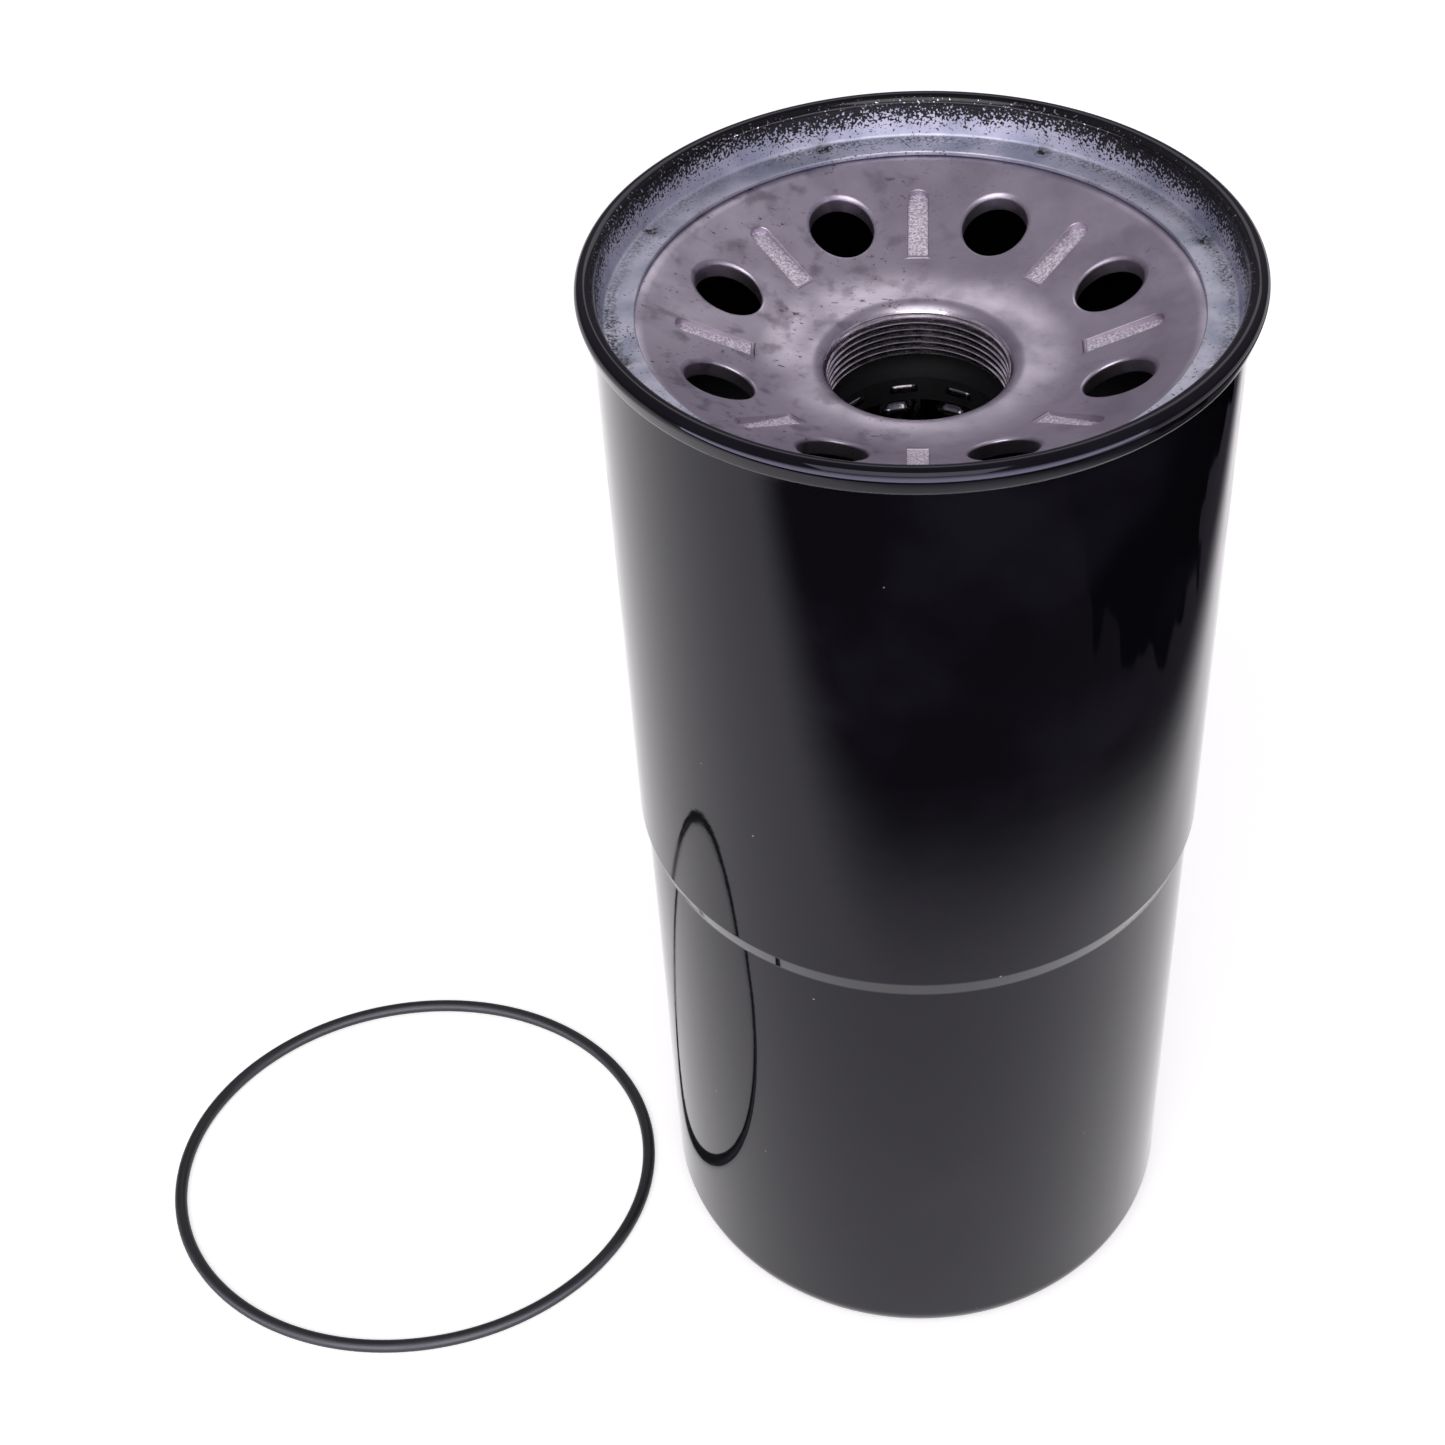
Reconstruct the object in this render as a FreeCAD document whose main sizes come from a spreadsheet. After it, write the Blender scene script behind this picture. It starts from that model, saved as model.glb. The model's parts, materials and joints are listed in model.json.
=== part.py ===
import FreeCAD, Part
import math
import os
import re

import Sketcher
from FreeCAD import Placement, Rotation, Vector

# Spin-on oil filter, open end up. Origin: centre of the can's bottom face, +Z up along the filter's axis.
# Each row: the size's name, its value in millimetres (degrees for angles) and what it sets.
SIZES = [
    ("can_height", 279.2, "floor to the top of the rolled lip"),
    ("can_radius", 65.1, "outside of the upper can wall"),
    ("can_wall", 0.9, "can sheet"),
    ("step_in", 1.4, "how much smaller the lower can's radius is"),
    ("step_base", 132.6, "where the step in the can wall starts"),
    ("step_rise", 5.4, "height of the step"),
    ("foot_round", 9.0, "outside radius where wall meets bottom"),
    ("bead_radius", 40.0, "middle of the stiffening bead in the bottom"),
    ("bead_width", 8.0, "outside width of that bead"),
    ("bead_rise", 1.5, "how far the bead is pressed in"),
    ("bead_slant", 1.5, "plan width of each slanting side of the bead"),
    ("lip_proud", 2.9, "how far the rolled lip stands out from the can wall"),
    ("lip_depth", 6.2, "height of the rolled lip"),
    ("tuck_round", 1.9, "outside radius where the lip turns back under"),
    ("seam_gap", 0.1, "play between the sheets in the rolled seam"),
    ("ring_sheet", 1.0, "seaming ring sheet"),
    ("ring_lean", 8.0, "lean of the ring's wall from vertical"),
    ("crease_round", 0.8, "inside radius between seat and wall"),
    ("seat_depth", 8.9, "lip top down to the O-ring seat"),
    ("seat_width", 6.5, "crease in to the ring's inner edge"),
    ("stake_count", 8, "staked dimples that hold ring and plate together"),
    ("stake_radius", 1.7, "plan radius of a dimple"),
    ("stake_depth", 0.35, "depth of a dimple"),
    ("stake_inset", 1.9, "crease in to a dimple's centre"),
    ("stake_turn", 19.5, "angle of the first dimple"),
    ("plate_thick", 3.5, "base plate"),
    ("plate_gap", 1.4, "base plate's edge to the can's bore"),
    ("dish_angle", 24.2, "slope of the dished plate"),
    ("dish_blend", 25.8, "radius that levels the dish towards the mouth"),
    ("rim_lap", 0.5, "ring's inner edge out to where the dish starts"),
    ("neck_bend", 0.5, "inside radius where plate turns into neck"),
    ("neck_depth", 12.3, "mouth down to the end of the neck"),
    ("neck_chamfer", 0.6, "chamfer at the neck's end"),
    ("thread_minor", 18.42, "radius at the thread's crests"),
    ("hole_count", 8, "oil inlet holes"),
    ("hole_radius", 6.8, "inlet hole"),
    ("hole_circle", 42.4, "radius of the circle of inlet holes"),
    ("rib_count", 8, "pressed radial ribs between the holes"),
    ("rib_width", 4.2, "rib"),
    ("rib_start", 33.9, "inner end of a rib"),
    ("rib_end", 49.2, "outer end of a rib"),
    ("rib_depth", 0.45, "depth of a rib at its inner end"),
    ("rib_angle", 20.0, "slope of a rib's floor"),
    ("seal_gap", 0.2, "neck to inner seal, and plate to inner seal at rest"),
    ("seal_wall", 4.6, "inner seal's sleeve"),
    ("seal_foot", 2.2, "thickness of the seal's foot"),
    ("seal_toe", 1.6, "how far the foot reaches outside the sleeve"),
    ("seal_chamfer", 0.7, "chamfer at the seal's mouth"),
    ("cap_drop", 6.0, "neck's end down to the upper end cap"),
    ("cap_sheet", 0.8, "end cap sheet"),
    ("cap_skirt", 7.0, "height of an end cap's outer skirt"),
    ("cap_lip", 5.0, "height of the upper cap's inner skirt"),
    ("flow_gap", 9.8, "end cap's edge to the lower can's bore"),
    ("tube_radius", 20.4, "outside of the centre tube"),
    ("tube_wall", 0.6, "centre tube sheet"),
    ("louvre_width", 6.2, "louvre slot"),
    ("louvre_height", 2.0, "louvre slot"),
    ("louvre_pitch", 7.0, "row to row"),
    ("louvre_count", 10, "louvres in a row"),
    ("louvre_margin", 9.0, "plain length at each end of the tube"),
    ("pot_thick", 4.0, "bonding compound in an end cap"),
    ("media_inset", 1.9, "end cap's skirt to the pleats' tips"),
    ("media_inner", 25.0, "inner fold of the pleats"),
    ("pleat_count", 60, "pleats"),
    ("paper_thick", 0.45, "filter paper"),
    ("clip_gap", 0.2, "play around a pleat's tip inside the seam clip"),
    ("clip_reach", 3.0, "how far the seam clip laps each side of a pleat"),
    ("clip_sheet", 0.35, "seam clip sheet"),
    ("band_count", 3, "bands around the pleats"),
    ("band_width", 6.0, "band"),
    ("band_sheet", 0.5, "band"),
    ("band_gap", 0.1, "seam clip to band"),
    ("spring_space", 33.3, "can's floor up to the lower end cap"),
    ("spring_radius", 29.0, "element spring's mean radius"),
    ("spring_wire", 4.0, "element spring's wire"),
    ("spring_pitch", 8.4, "element spring's pitch"),
    ("spring_play", 0.05, "play at each end of a spring"),
    ("cup_sheet", 1.0, "spring cup sheet"),
    ("cup_bore", 18.0, "hole in the spring cup"),
    ("cup_rim", 5.0, "depth of the spring cup's rim"),
    ("cup_play", 2.0, "spring to the cup's rim"),
    ("bypass_bore", 11.0, "bypass hole in the lower end cap"),
    ("cage_radius", 17.2, "outside of the bypass cage"),
    ("cage_sheet", 0.8, "bypass cage sheet"),
    ("cage_height", 24.0, "bypass cage"),
    ("cage_window", 10.0, "width of a cage window"),
    ("window_base", 5.0, "lower edge of a cage window"),
    ("window_rise", 12.0, "height of a cage window"),
    ("poppet_radius", 14.0, "bypass poppet's disc"),
    ("poppet_thick", 1.2, "bypass poppet's disc"),
    ("stem_radius", 3.0, "bypass poppet's stem"),
    ("stem_play", 0.4, "stem in the cage's hole"),
    ("stem_proud", 4.0, "stem above the cage"),
    ("washer_radius", 13.5, "poppet's rubber washer"),
    ("washer_bore", 4.0, "hole in the washer"),
    ("washer_thick", 1.5, "poppet's rubber washer"),
    ("relief_radius", 7.0, "bypass spring's mean radius"),
    ("relief_wire", 1.4, "bypass spring's wire"),
    ("relief_pitch", 4.6, "bypass spring's pitch"),
    ("oring_section", 3.3, "O-ring's section"),
    ("oring_inset", 2.73, "crease in to the O-ring's middle line when fitted"),
    ("oring_oval", 0.061, "share by which the loose ring is out of round"),
    ("oring_turn", 6.08, "direction of the loose ring's long axis"),
    ("oring_apart", 2.35, "lip to the loose ring, in plan"),
    ("oring_forward", 15.6, "loose ring's centre in front of the can's"),
]

# Heights and radii that several pieces share, as formulas of the sizes above.
FOLD_RADIUS = "(can_radius + lip_proud - can_wall - ring_sheet - seam_gap)"
FOLD_HEIGHT = "(can_height - can_wall - ring_sheet - seam_gap)"
HOOK_END = "(can_height - lip_depth + tuck_round + seam_gap)"
CAN_BORE = "(can_radius - can_wall)"
LOW_RADIUS = "(can_radius - step_in)"
LOW_BORE = f"({LOW_RADIUS} - can_wall)"
SEAT_HEIGHT = "(can_height - seat_depth)"
RIM_HEIGHT = f"({SEAT_HEIGHT} - ring_sheet)"
ROLL = "(can_wall + ring_sheet + seam_gap)"
CREASE = (
    f"({FOLD_RADIUS} - {ROLL} * cos(ring_lean)"
    f" - tan(ring_lean) * ({FOLD_HEIGHT} + {ROLL} * sin(ring_lean) - {SEAT_HEIGHT}))"
)
CREASE_RUN = "(crease_round * tan(45 - ring_lean / 2))"
SEAT_INNER = f"({CREASE} - seat_width)"
RIM_INNER = f"({SEAT_INNER} + rim_lap)"
MOUTH_ROUND = "(plate_thick + neck_bend)"
CREST_RADIUS = f"(thread_minor + {MOUTH_ROUND})"
CREST_HEIGHT = (
    f"({RIM_HEIGHT} - dish_blend * (1 - cos(dish_angle))"
    f" - tan(dish_angle) * ({RIM_INNER} - {CREST_RADIUS} - dish_blend * sin(dish_angle)))"
)
NECK_RADIUS = "(thread_minor + plate_thick)"
NECK_END = f"({CREST_HEIGHT} - neck_depth)"
TOP_CAP = f"({NECK_END} - cap_drop)"
TOP_POT = f"({TOP_CAP} - cap_sheet)"
CAP_RADIUS = f"({LOW_BORE} - flow_gap)"
POT_RADIUS = f"({CAP_RADIUS} - cap_sheet)"
TUBE_BORE = "(tube_radius - tube_wall)"
SEAL_RADIUS = f"({NECK_RADIUS} + seal_gap + seal_wall)"
LOW_CAP = "(can_wall + spring_space)"
VALVE_SEAT = f"({LOW_CAP} + cap_sheet)"
MEDIA_BASE = f"({VALVE_SEAT} + pot_thick)"
MEDIA_TOP = f"({TOP_POT} - pot_thick)"
MEDIA_OUTER = f"({POT_RADIUS} - media_inset)"
CAGE_TOP = f"({VALVE_SEAT} + cage_height)"
CAGE_ROOF = f"({CAGE_TOP} - cage_sheet)"
POPPET_BASE = f"({VALVE_SEAT} + washer_thick)"
POPPET_TOP = f"({POPPET_BASE} + poppet_thick)"
ORING_RADIUS = f"({CREASE} - oring_inset)"
ORING_LONG = f"({ORING_RADIUS} * (1 + oring_oval))"
ORING_SHORT = f"({ORING_RADIUS} * (1 - oring_oval))"

FUNCTIONS = ("sin", "cos", "tan", "sqrt", "floor")


def make_sheet(doc):
    """The spreadsheet that drives every piece: plain numbers, each under a name of its own."""
    sheet = doc.addObject("Spreadsheet::Sheet", "Sizes")
    for row, (name, number, note) in enumerate(SIZES, start=1):
        sheet.set(f"A{row}", name)
        sheet.set(f"B{row}", str(number))
        sheet.set(f"C{row}", note)
        sheet.setAlias(f"B{row}", name)
    doc.recompute()
    return sheet


def formula(text):
    """Spell a formula of size names the way the document reads it."""

    def spell(found):
        return found[0] if found[0] in FUNCTIONS else "Sizes." + found[0]

    return re.sub(r"[a-z_]+", spell, text)


def worth(doc, text):
    """The present value of a formula of size names."""
    result = doc.getObject("Sizes").evalExpression(formula(text))
    return float(getattr(result, "Value", result))


def bind(target, prop, text):
    """Tie one property of an object to a formula of size names."""
    target.setExpression(prop, formula(text))


def origin_part(body, role):
    """One of a body's own origin planes or axes."""
    return next(item for item in body.Origin.OriginFeatures if item.Role == role)


def new_body(doc, name):
    """An empty body whose label names its piece."""
    body = doc.addObject("PartDesign::Body", name)
    body.Label = name
    body.Placement = Placement()
    return body


def new_sketch(body, name, plane):
    """A sketch on one of the body's origin planes."""
    sketch = body.newObject("Sketcher::SketchObject", name)
    sketch.AttachmentSupport = (origin_part(body, plane), [""])
    sketch.MapMode = "FlatFace"
    return sketch


def arc_through(start, end, radius, left):
    """The arc from start to end, its centre on the left or the right of the way there."""
    chord = end.sub(start)
    half = chord.Length / 2
    rise = math.sqrt(max(radius**2 - half**2, 0.0))
    side = Vector(-chord.y, chord.x, 0).normalize()
    centre = start.add(end).multiply(0.5).add(side.multiply(rise if left else -rise))
    circle = Part.Circle(centre, Vector(0, 0, 1), radius)
    first, last = (start, end) if left else (end, start)
    return Part.ArcOfCircle(circle, circle.parameter(first), circle.parameter(last))


def pin_point(sketch, geometry, point, place):
    """Fix one point of a sketch at its two formulas."""
    for kind, axis, text in (("DistanceX", -2, place[0]), ("DistanceY", -1, place[1])):
        if text == "0":
            sketch.addConstraint(Sketcher.Constraint("PointOnObject", geometry, point, axis))
            continue
        number = worth(sketch.Document, text)
        index = sketch.addConstraint(Sketcher.Constraint(kind, geometry, point, number))
        bind(sketch, f"Constraints[{index}]", text)


def draw_outline(sketch, corners):
    """Draw a closed outline.

    A corner is (across, up), and is reached by a straight line from the corner before it,
    or (across, up, radius, side), and is reached by an arc whose centre is on that side.
    """
    doc = sketch.Document
    points = [Vector(worth(doc, corner[0]), worth(doc, corner[1]), 0) for corner in corners]
    ends = []
    for index, corner in enumerate(corners):
        start, end = points[index - 1], points[index]
        if len(corner) == 2:
            ends.append((sketch.addGeometry(Part.LineSegment(start, end)), 1, 2))
            continue
        radius, side = corner[2], corner[3]
        left = side == "left"
        geometry = sketch.addGeometry(arc_through(start, end, worth(doc, radius), left))
        ends.append((geometry, 1, 2) if left else (geometry, 2, 1))
    for index, (geometry, first, last) in enumerate(ends):
        before, _, joined = ends[index - 1]
        sketch.addConstraint(Sketcher.Constraint("Coincident", before, joined, geometry, first))
    for (geometry, first, last), corner in zip(ends, corners):
        pin_point(sketch, geometry, last, corner)
    for (geometry, first, last), corner in zip(ends, corners):
        if len(corner) > 2:
            number = worth(doc, corner[2])
            index = sketch.addConstraint(Sketcher.Constraint("Radius", geometry, number))
            bind(sketch, f"Constraints[{index}]", corner[2])


def revolve(doc, name, corners):
    """A body turned about the filter's axis from its half section, given as (radius, height) corners."""
    body = new_body(doc, name)
    sketch = new_sketch(body, name + "_section", "XZ_Plane")
    draw_outline(sketch, corners)
    turned = body.newObject("PartDesign::Revolution", name + "_turned")
    turned.Profile = sketch
    turned.ReferenceAxis = (sketch, ["V_Axis"])
    turned.Angle = 360
    body.Tip = turned
    return body


def ring_outline(inner, outer, base, top):
    """A plain rectangular half section."""
    return [(inner, base), (inner, top), (outer, top), (outer, base)]


def repeat_around(body, features, count):
    """Repeat features evenly around the filter's axis."""
    pattern = body.newObject("PartDesign::PolarPattern", features[0].Name + "_around")
    pattern.Originals = features
    pattern.Axis = (origin_part(body, "Z_Axis"), [""])
    pattern.Angle = 360
    bind(pattern, "Occurrences", count)
    body.Tip = pattern
    return pattern


def add_circle(sketch, place, radius):
    """A circle fixed at its formulas."""
    doc = sketch.Document
    centre = Vector(worth(doc, place[0]), worth(doc, place[1]), 0)
    circle = Part.Circle(centre, Vector(0, 0, 1), worth(doc, radius))
    geometry = sketch.addGeometry(circle)
    pin_point(sketch, geometry, 3, place)
    index = sketch.addConstraint(Sketcher.Constraint("Radius", geometry, worth(doc, radius)))
    bind(sketch, f"Constraints[{index}]", radius)


def cut_through(body, sketch, both_ways=False):
    """Cut a sketch's shape out of the body, all the way, and make sure that it did cut."""
    doc = body.Document
    doc.recompute()
    before = body.Tip.Shape.Volume
    pocket = body.newObject("PartDesign::Pocket", sketch.Name + "_cut")
    pocket.Profile = sketch
    pocket.Type = "ThroughAll"
    pocket.Midplane = both_ways
    pocket.Reversed = not both_ways
    body.Tip = pocket
    doc.recompute()
    if pocket.Shape.isNull() or pocket.Shape.Volume >= before:
        raise RuntimeError(f"{pocket.Name} cuts nothing")
    return pocket


def step_corners(inward, upward):
    """The S-shaped step in the can's wall, as a pair of equal arcs, shifted inward by a formula."""
    low, high = f"({LOW_RADIUS} - {inward})", f"(can_radius - {inward})"
    bend = "((step_in ^ 2 + step_rise ^ 2) / (4 * step_in))"
    middle = (f"({low} + {high}) / 2", "step_base + step_rise / 2")
    bottom, top = (low, "step_base"), (high, "step_base + step_rise")
    if upward:
        return [bottom, (*middle, bend, "right"), (*top, bend, "left")]
    return [top, (*middle, bend, "right"), (*bottom, bend, "left")]


def bead_corners(lift, outward):
    """The pressed bead in the can's bottom, raised by a formula."""
    half = "bead_width / 2"
    corners = [
        (f"bead_radius - {half}", lift),
        (f"bead_radius - {half} + bead_slant", f"{lift} + bead_rise"),
        (f"bead_radius + {half} - bead_slant", f"{lift} + bead_rise"),
        (f"bead_radius + {half}", lift),
    ]
    return corners if outward else corners[::-1]


def outer_can(doc):
    """Drawn steel can: flat bottom, stepped wall, top edge folded outwards for the seam."""
    lean_run = f"({FOLD_RADIUS} - can_radius) / tan(ring_lean)"
    fold_in = f"({FOLD_RADIUS} - can_wall * cos(ring_lean))"
    fold_up = f"({FOLD_HEIGHT} + can_wall * sin(ring_lean))"
    corners = [("0", "0")]
    corners += bead_corners("0", outward=True)
    corners += [
        (f"{LOW_RADIUS} - foot_round", "0"),
        (LOW_RADIUS, "foot_round", "foot_round", "left"),
    ]
    corners += step_corners("0", upward=True)
    corners += [
        ("can_radius", f"{FOLD_HEIGHT} - {lean_run}"),
        (FOLD_RADIUS, FOLD_HEIGHT),
        (FOLD_RADIUS, HOOK_END),
        (f"{FOLD_RADIUS} + can_wall", HOOK_END),
        (f"{FOLD_RADIUS} + can_wall", FOLD_HEIGHT),
        (fold_in, fold_up, "can_wall", "left"),
        (CAN_BORE, f"{fold_up} - ({fold_in} - {CAN_BORE}) / tan(ring_lean)"),
    ]
    corners += step_corners("can_wall", upward=False)
    corners += [
        (LOW_BORE, "foot_round"),
        (f"{LOW_RADIUS} - foot_round", "can_wall", "foot_round - can_wall", "right"),
    ]
    corners += bead_corners("can_wall", outward=False)
    corners += [("0", "can_wall")]
    return revolve(doc, "outer_can", corners)


def seaming_ring(doc):
    """Pressed ring that holds the base plate, is rolled over the can's edge and carries the O-ring seat."""
    bend_in = f"({CREASE} - {CREASE_RUN})"
    bend_up = f"({SEAT_HEIGHT} + crease_round)"
    outer_bend = "(crease_round + ring_sheet)"
    roll_in = f"({ROLL} - ring_sheet)"
    skirt = "(can_height - lip_depth + tuck_round)"
    tuck_end = "(can_radius + lip_proud - tuck_round)"
    corners = [
        (SEAT_INNER, RIM_HEIGHT),
        (SEAT_INNER, SEAT_HEIGHT),
        (bend_in, SEAT_HEIGHT),
        (
            f"{bend_in} + crease_round * cos(ring_lean)",
            f"{bend_up} - crease_round * sin(ring_lean)",
            "crease_round",
            "left",
        ),
        (f"{FOLD_RADIUS} - {ROLL} * cos(ring_lean)", f"{FOLD_HEIGHT} + {ROLL} * sin(ring_lean)"),
        (f"{FOLD_RADIUS}", f"{FOLD_HEIGHT} + {ROLL}", ROLL, "right"),
        (f"{FOLD_RADIUS} + {ROLL}", FOLD_HEIGHT, ROLL, "right"),
        (f"{FOLD_RADIUS} + {ROLL}", skirt),
        (tuck_end, f"{skirt} - tuck_round", "tuck_round", "right"),
        (tuck_end, f"{skirt} - tuck_round + ring_sheet"),
        (f"{FOLD_RADIUS} + {roll_in}", skirt, "tuck_round - ring_sheet", "left"),
        (f"{FOLD_RADIUS} + {roll_in}", FOLD_HEIGHT),
        (FOLD_RADIUS, f"{FOLD_HEIGHT} + {roll_in}", roll_in, "left"),
        (
            f"{FOLD_RADIUS} - {roll_in} * cos(ring_lean)",
            f"{FOLD_HEIGHT} + {roll_in} * sin(ring_lean)",
            roll_in,
            "left",
        ),
        (
            f"{bend_in} + {outer_bend} * cos(ring_lean)",
            f"{bend_up} - {outer_bend} * sin(ring_lean)",
        ),
        (bend_in, RIM_HEIGHT, outer_bend, "right"),
    ]
    body = revolve(doc, "seaming_ring", corners)
    stake_marks(body)
    return body


def stake_marks(body):
    """Shallow round-bottomed dimples around the seat, where the ring is staked to the plate."""
    ball = "((stake_radius ^ 2 + stake_depth ^ 2) / (2 * stake_depth))"
    middle = f"{CREASE} - stake_inset"
    sketch = new_sketch(body, "stake_section", "XZ_Plane")
    corners = [
        (middle, f"{SEAT_HEIGHT} - stake_depth"),
        (f"{middle} + stake_radius", SEAT_HEIGHT, ball, "left"),
        (middle, SEAT_HEIGHT),
    ]
    draw_outline(sketch, corners)
    dimple = body.newObject("PartDesign::Groove", "stake_mark")
    dimple.Profile = sketch
    dimple.ReferenceAxis = (sketch, ["Edge3"])
    dimple.Angle = 360
    body.Tip = dimple
    body.Document.recompute()
    repeat_around(body, [dimple], "stake_count")
    bind(body, ".Placement.Rotation.Angle", "stake_turn")


def base_plate(doc):
    """Thick dished plate: inlet holes, pressed ribs and a drawn neck for the thread."""
    slope_in = f"{CREST_RADIUS} + dish_blend * sin(dish_angle)"
    slope_up = f"{CREST_HEIGHT} + dish_blend * (1 - cos(dish_angle))"
    under = "(dish_blend + plate_thick)"
    turn = f"{CREST_HEIGHT} - {MOUTH_ROUND}"
    plate_radius = f"{CAN_BORE} - plate_gap"
    corners = [
        ("thread_minor", f"{NECK_END} + neck_chamfer"),
        ("thread_minor", turn),
        (CREST_RADIUS, CREST_HEIGHT, MOUTH_ROUND, "right"),
        (slope_in, slope_up, "dish_blend", "left"),
        (RIM_INNER, RIM_HEIGHT),
        (plate_radius, RIM_HEIGHT),
        (plate_radius, f"{RIM_HEIGHT} - plate_thick"),
        (f"{RIM_INNER} + plate_thick * tan(dish_angle / 2)", f"{RIM_HEIGHT} - plate_thick"),
        (
            f"{CREST_RADIUS} + {under} * sin(dish_angle)",
            f"{CREST_HEIGHT} + dish_blend - {under} * cos(dish_angle)",
        ),
        (CREST_RADIUS, f"{CREST_HEIGHT} - plate_thick", under, "right"),
        (NECK_RADIUS, turn, "neck_bend", "left"),
        (NECK_RADIUS, NECK_END),
        ("thread_minor + neck_chamfer", NECK_END),
    ]
    body = revolve(doc, "base_plate", corners)
    inlet_holes(body)
    pressed_ribs(body)
    return body


def inlet_holes(body):
    """Round inlet holes, half a step away from the ribs."""
    half_step = "180 / hole_count"
    sketch = new_sketch(body, "inlet_hole", "XY_Plane")
    centre = (f"hole_circle * cos({half_step})", f"hole_circle * sin({half_step})")
    add_circle(sketch, centre, "hole_radius")
    hole = cut_through(body, sketch)
    repeat_around(body, [hole], "hole_count")


def pressed_ribs(body):
    """Radial ribs pressed into the dish: round-ended slots with a floor that is less steep than the dish."""
    doc = body.Document
    dish_at_start = f"({RIM_HEIGHT} - tan(dish_angle) * ({RIM_INNER} - rib_start))"
    floor = f"({dish_at_start} - rib_depth)"
    half = "rib_width / 2"
    length = "(rib_end - rib_start) / cos(rib_angle)"
    sketch = new_sketch(body, "pressed_rib", "XY_Plane")
    lean = Rotation(Vector(0, -1, 0), worth(doc, "rib_angle"))
    sketch.AttachmentOffset = Placement(Vector(0, 0, 0), lean)
    bind(sketch, "AttachmentOffset.Base.x", "rib_start")
    bind(sketch, "AttachmentOffset.Base.z", floor)
    bind(sketch, "AttachmentOffset.Rotation.Angle", "rib_angle")
    corners = [
        (half, f"-({half})", half, "left"),
        (f"{length} - {half}", f"-({half})"),
        (length, "0", half, "left"),
        (f"{length} - {half}", half, half, "left"),
        (half, half),
        ("0", "0", half, "left"),
    ]
    draw_outline(sketch, corners)
    rib = cut_through(body, sketch)
    repeat_around(body, [rib], "rib_count")


def seam_sealant(doc):
    """Sealing compound in the wedge between the can's wall and its own folded-down edge."""
    play = "seam_gap / 5"
    base = f"({HOOK_END})"
    corners = [
        (f"{FOLD_RADIUS} - {play}", base),
        (f"{FOLD_RADIUS} - {play}", f"{FOLD_HEIGHT} - ({FOLD_HEIGHT} - {base}) / 4"),
        (f"{FOLD_RADIUS} + {play} - tan(ring_lean) * ({FOLD_HEIGHT} - {base})", base),
    ]
    return revolve(doc, "seam_sealant", corners)


def inner_seal(doc):
    """Rubber seal around the plate's neck: a sleeve on a wider foot that lies on the upper end cap."""
    bore = f"({NECK_RADIUS} + seal_gap)"
    top = f"({CREST_HEIGHT} - plate_thick - seal_gap)"
    corners = [
        (bore, TOP_CAP),
        (bore, f"{top} - seal_chamfer"),
        (f"{bore} + seal_chamfer", top),
        (SEAL_RADIUS, top),
        (SEAL_RADIUS, f"{TOP_CAP} + seal_foot"),
        (f"{SEAL_RADIUS} + seal_toe", f"{TOP_CAP} + seal_foot"),
        (f"{SEAL_RADIUS} + seal_toe", TOP_CAP),
    ]
    return revolve(doc, "inner_seal", corners)


def top_end_cap(doc):
    """Upper end cap: a trough with an outer skirt, and an inner skirt that sits inside the centre tube."""
    inner = f"({TUBE_BORE} - cap_sheet)"
    corners = [
        (inner, f"{TOP_POT} - cap_lip"),
        (inner, TOP_CAP),
        (CAP_RADIUS, TOP_CAP),
        (CAP_RADIUS, f"{TOP_CAP} - cap_skirt"),
        (POT_RADIUS, f"{TOP_CAP} - cap_skirt"),
        (POT_RADIUS, TOP_POT),
        (TUBE_BORE, TOP_POT),
        (TUBE_BORE, f"{TOP_POT} - cap_lip"),
    ]
    return revolve(doc, "top_end_cap", corners)


def top_potting(doc):
    """Bonding compound in the upper end cap's trough."""
    return revolve(doc, "top_potting", ring_outline("tube_radius", POT_RADIUS, MEDIA_TOP, TOP_POT))


def bottom_potting(doc):
    """Bonding compound in the lower end cap."""
    return revolve(doc, "bottom_potting", ring_outline("tube_radius", POT_RADIUS, VALVE_SEAT, MEDIA_BASE))


def bottom_end_cap(doc):
    """Lower end cap, open end up, with the bypass hole in its middle."""
    corners = [
        ("bypass_bore", LOW_CAP),
        ("bypass_bore", VALVE_SEAT),
        (POT_RADIUS, VALVE_SEAT),
        (POT_RADIUS, f"{LOW_CAP} + cap_skirt"),
        (CAP_RADIUS, f"{LOW_CAP} + cap_skirt"),
        (CAP_RADIUS, LOW_CAP),
    ]
    return revolve(doc, "bottom_end_cap", corners)


def centre_tube(doc):
    """Louvred steel tube that the pleats lean on: rows of slots, every other row turned half a step."""
    base = f"{VALVE_SEAT} + cage_sheet"
    body = revolve(doc, "centre_tube", ring_outline(TUBE_BORE, "tube_radius", base, TOP_POT))
    rows = f"floor(({TOP_POT} - ({base}) - 2 * louvre_margin) / (2 * louvre_pitch))"
    level, half_turn = f"{base} + louvre_margin", "180 / louvre_count"
    slot_rows(body, "louvre", level, rows, "0")
    slot_rows(body, "louvre_between", f"{level} + louvre_pitch", rows, half_turn)
    return body


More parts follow.
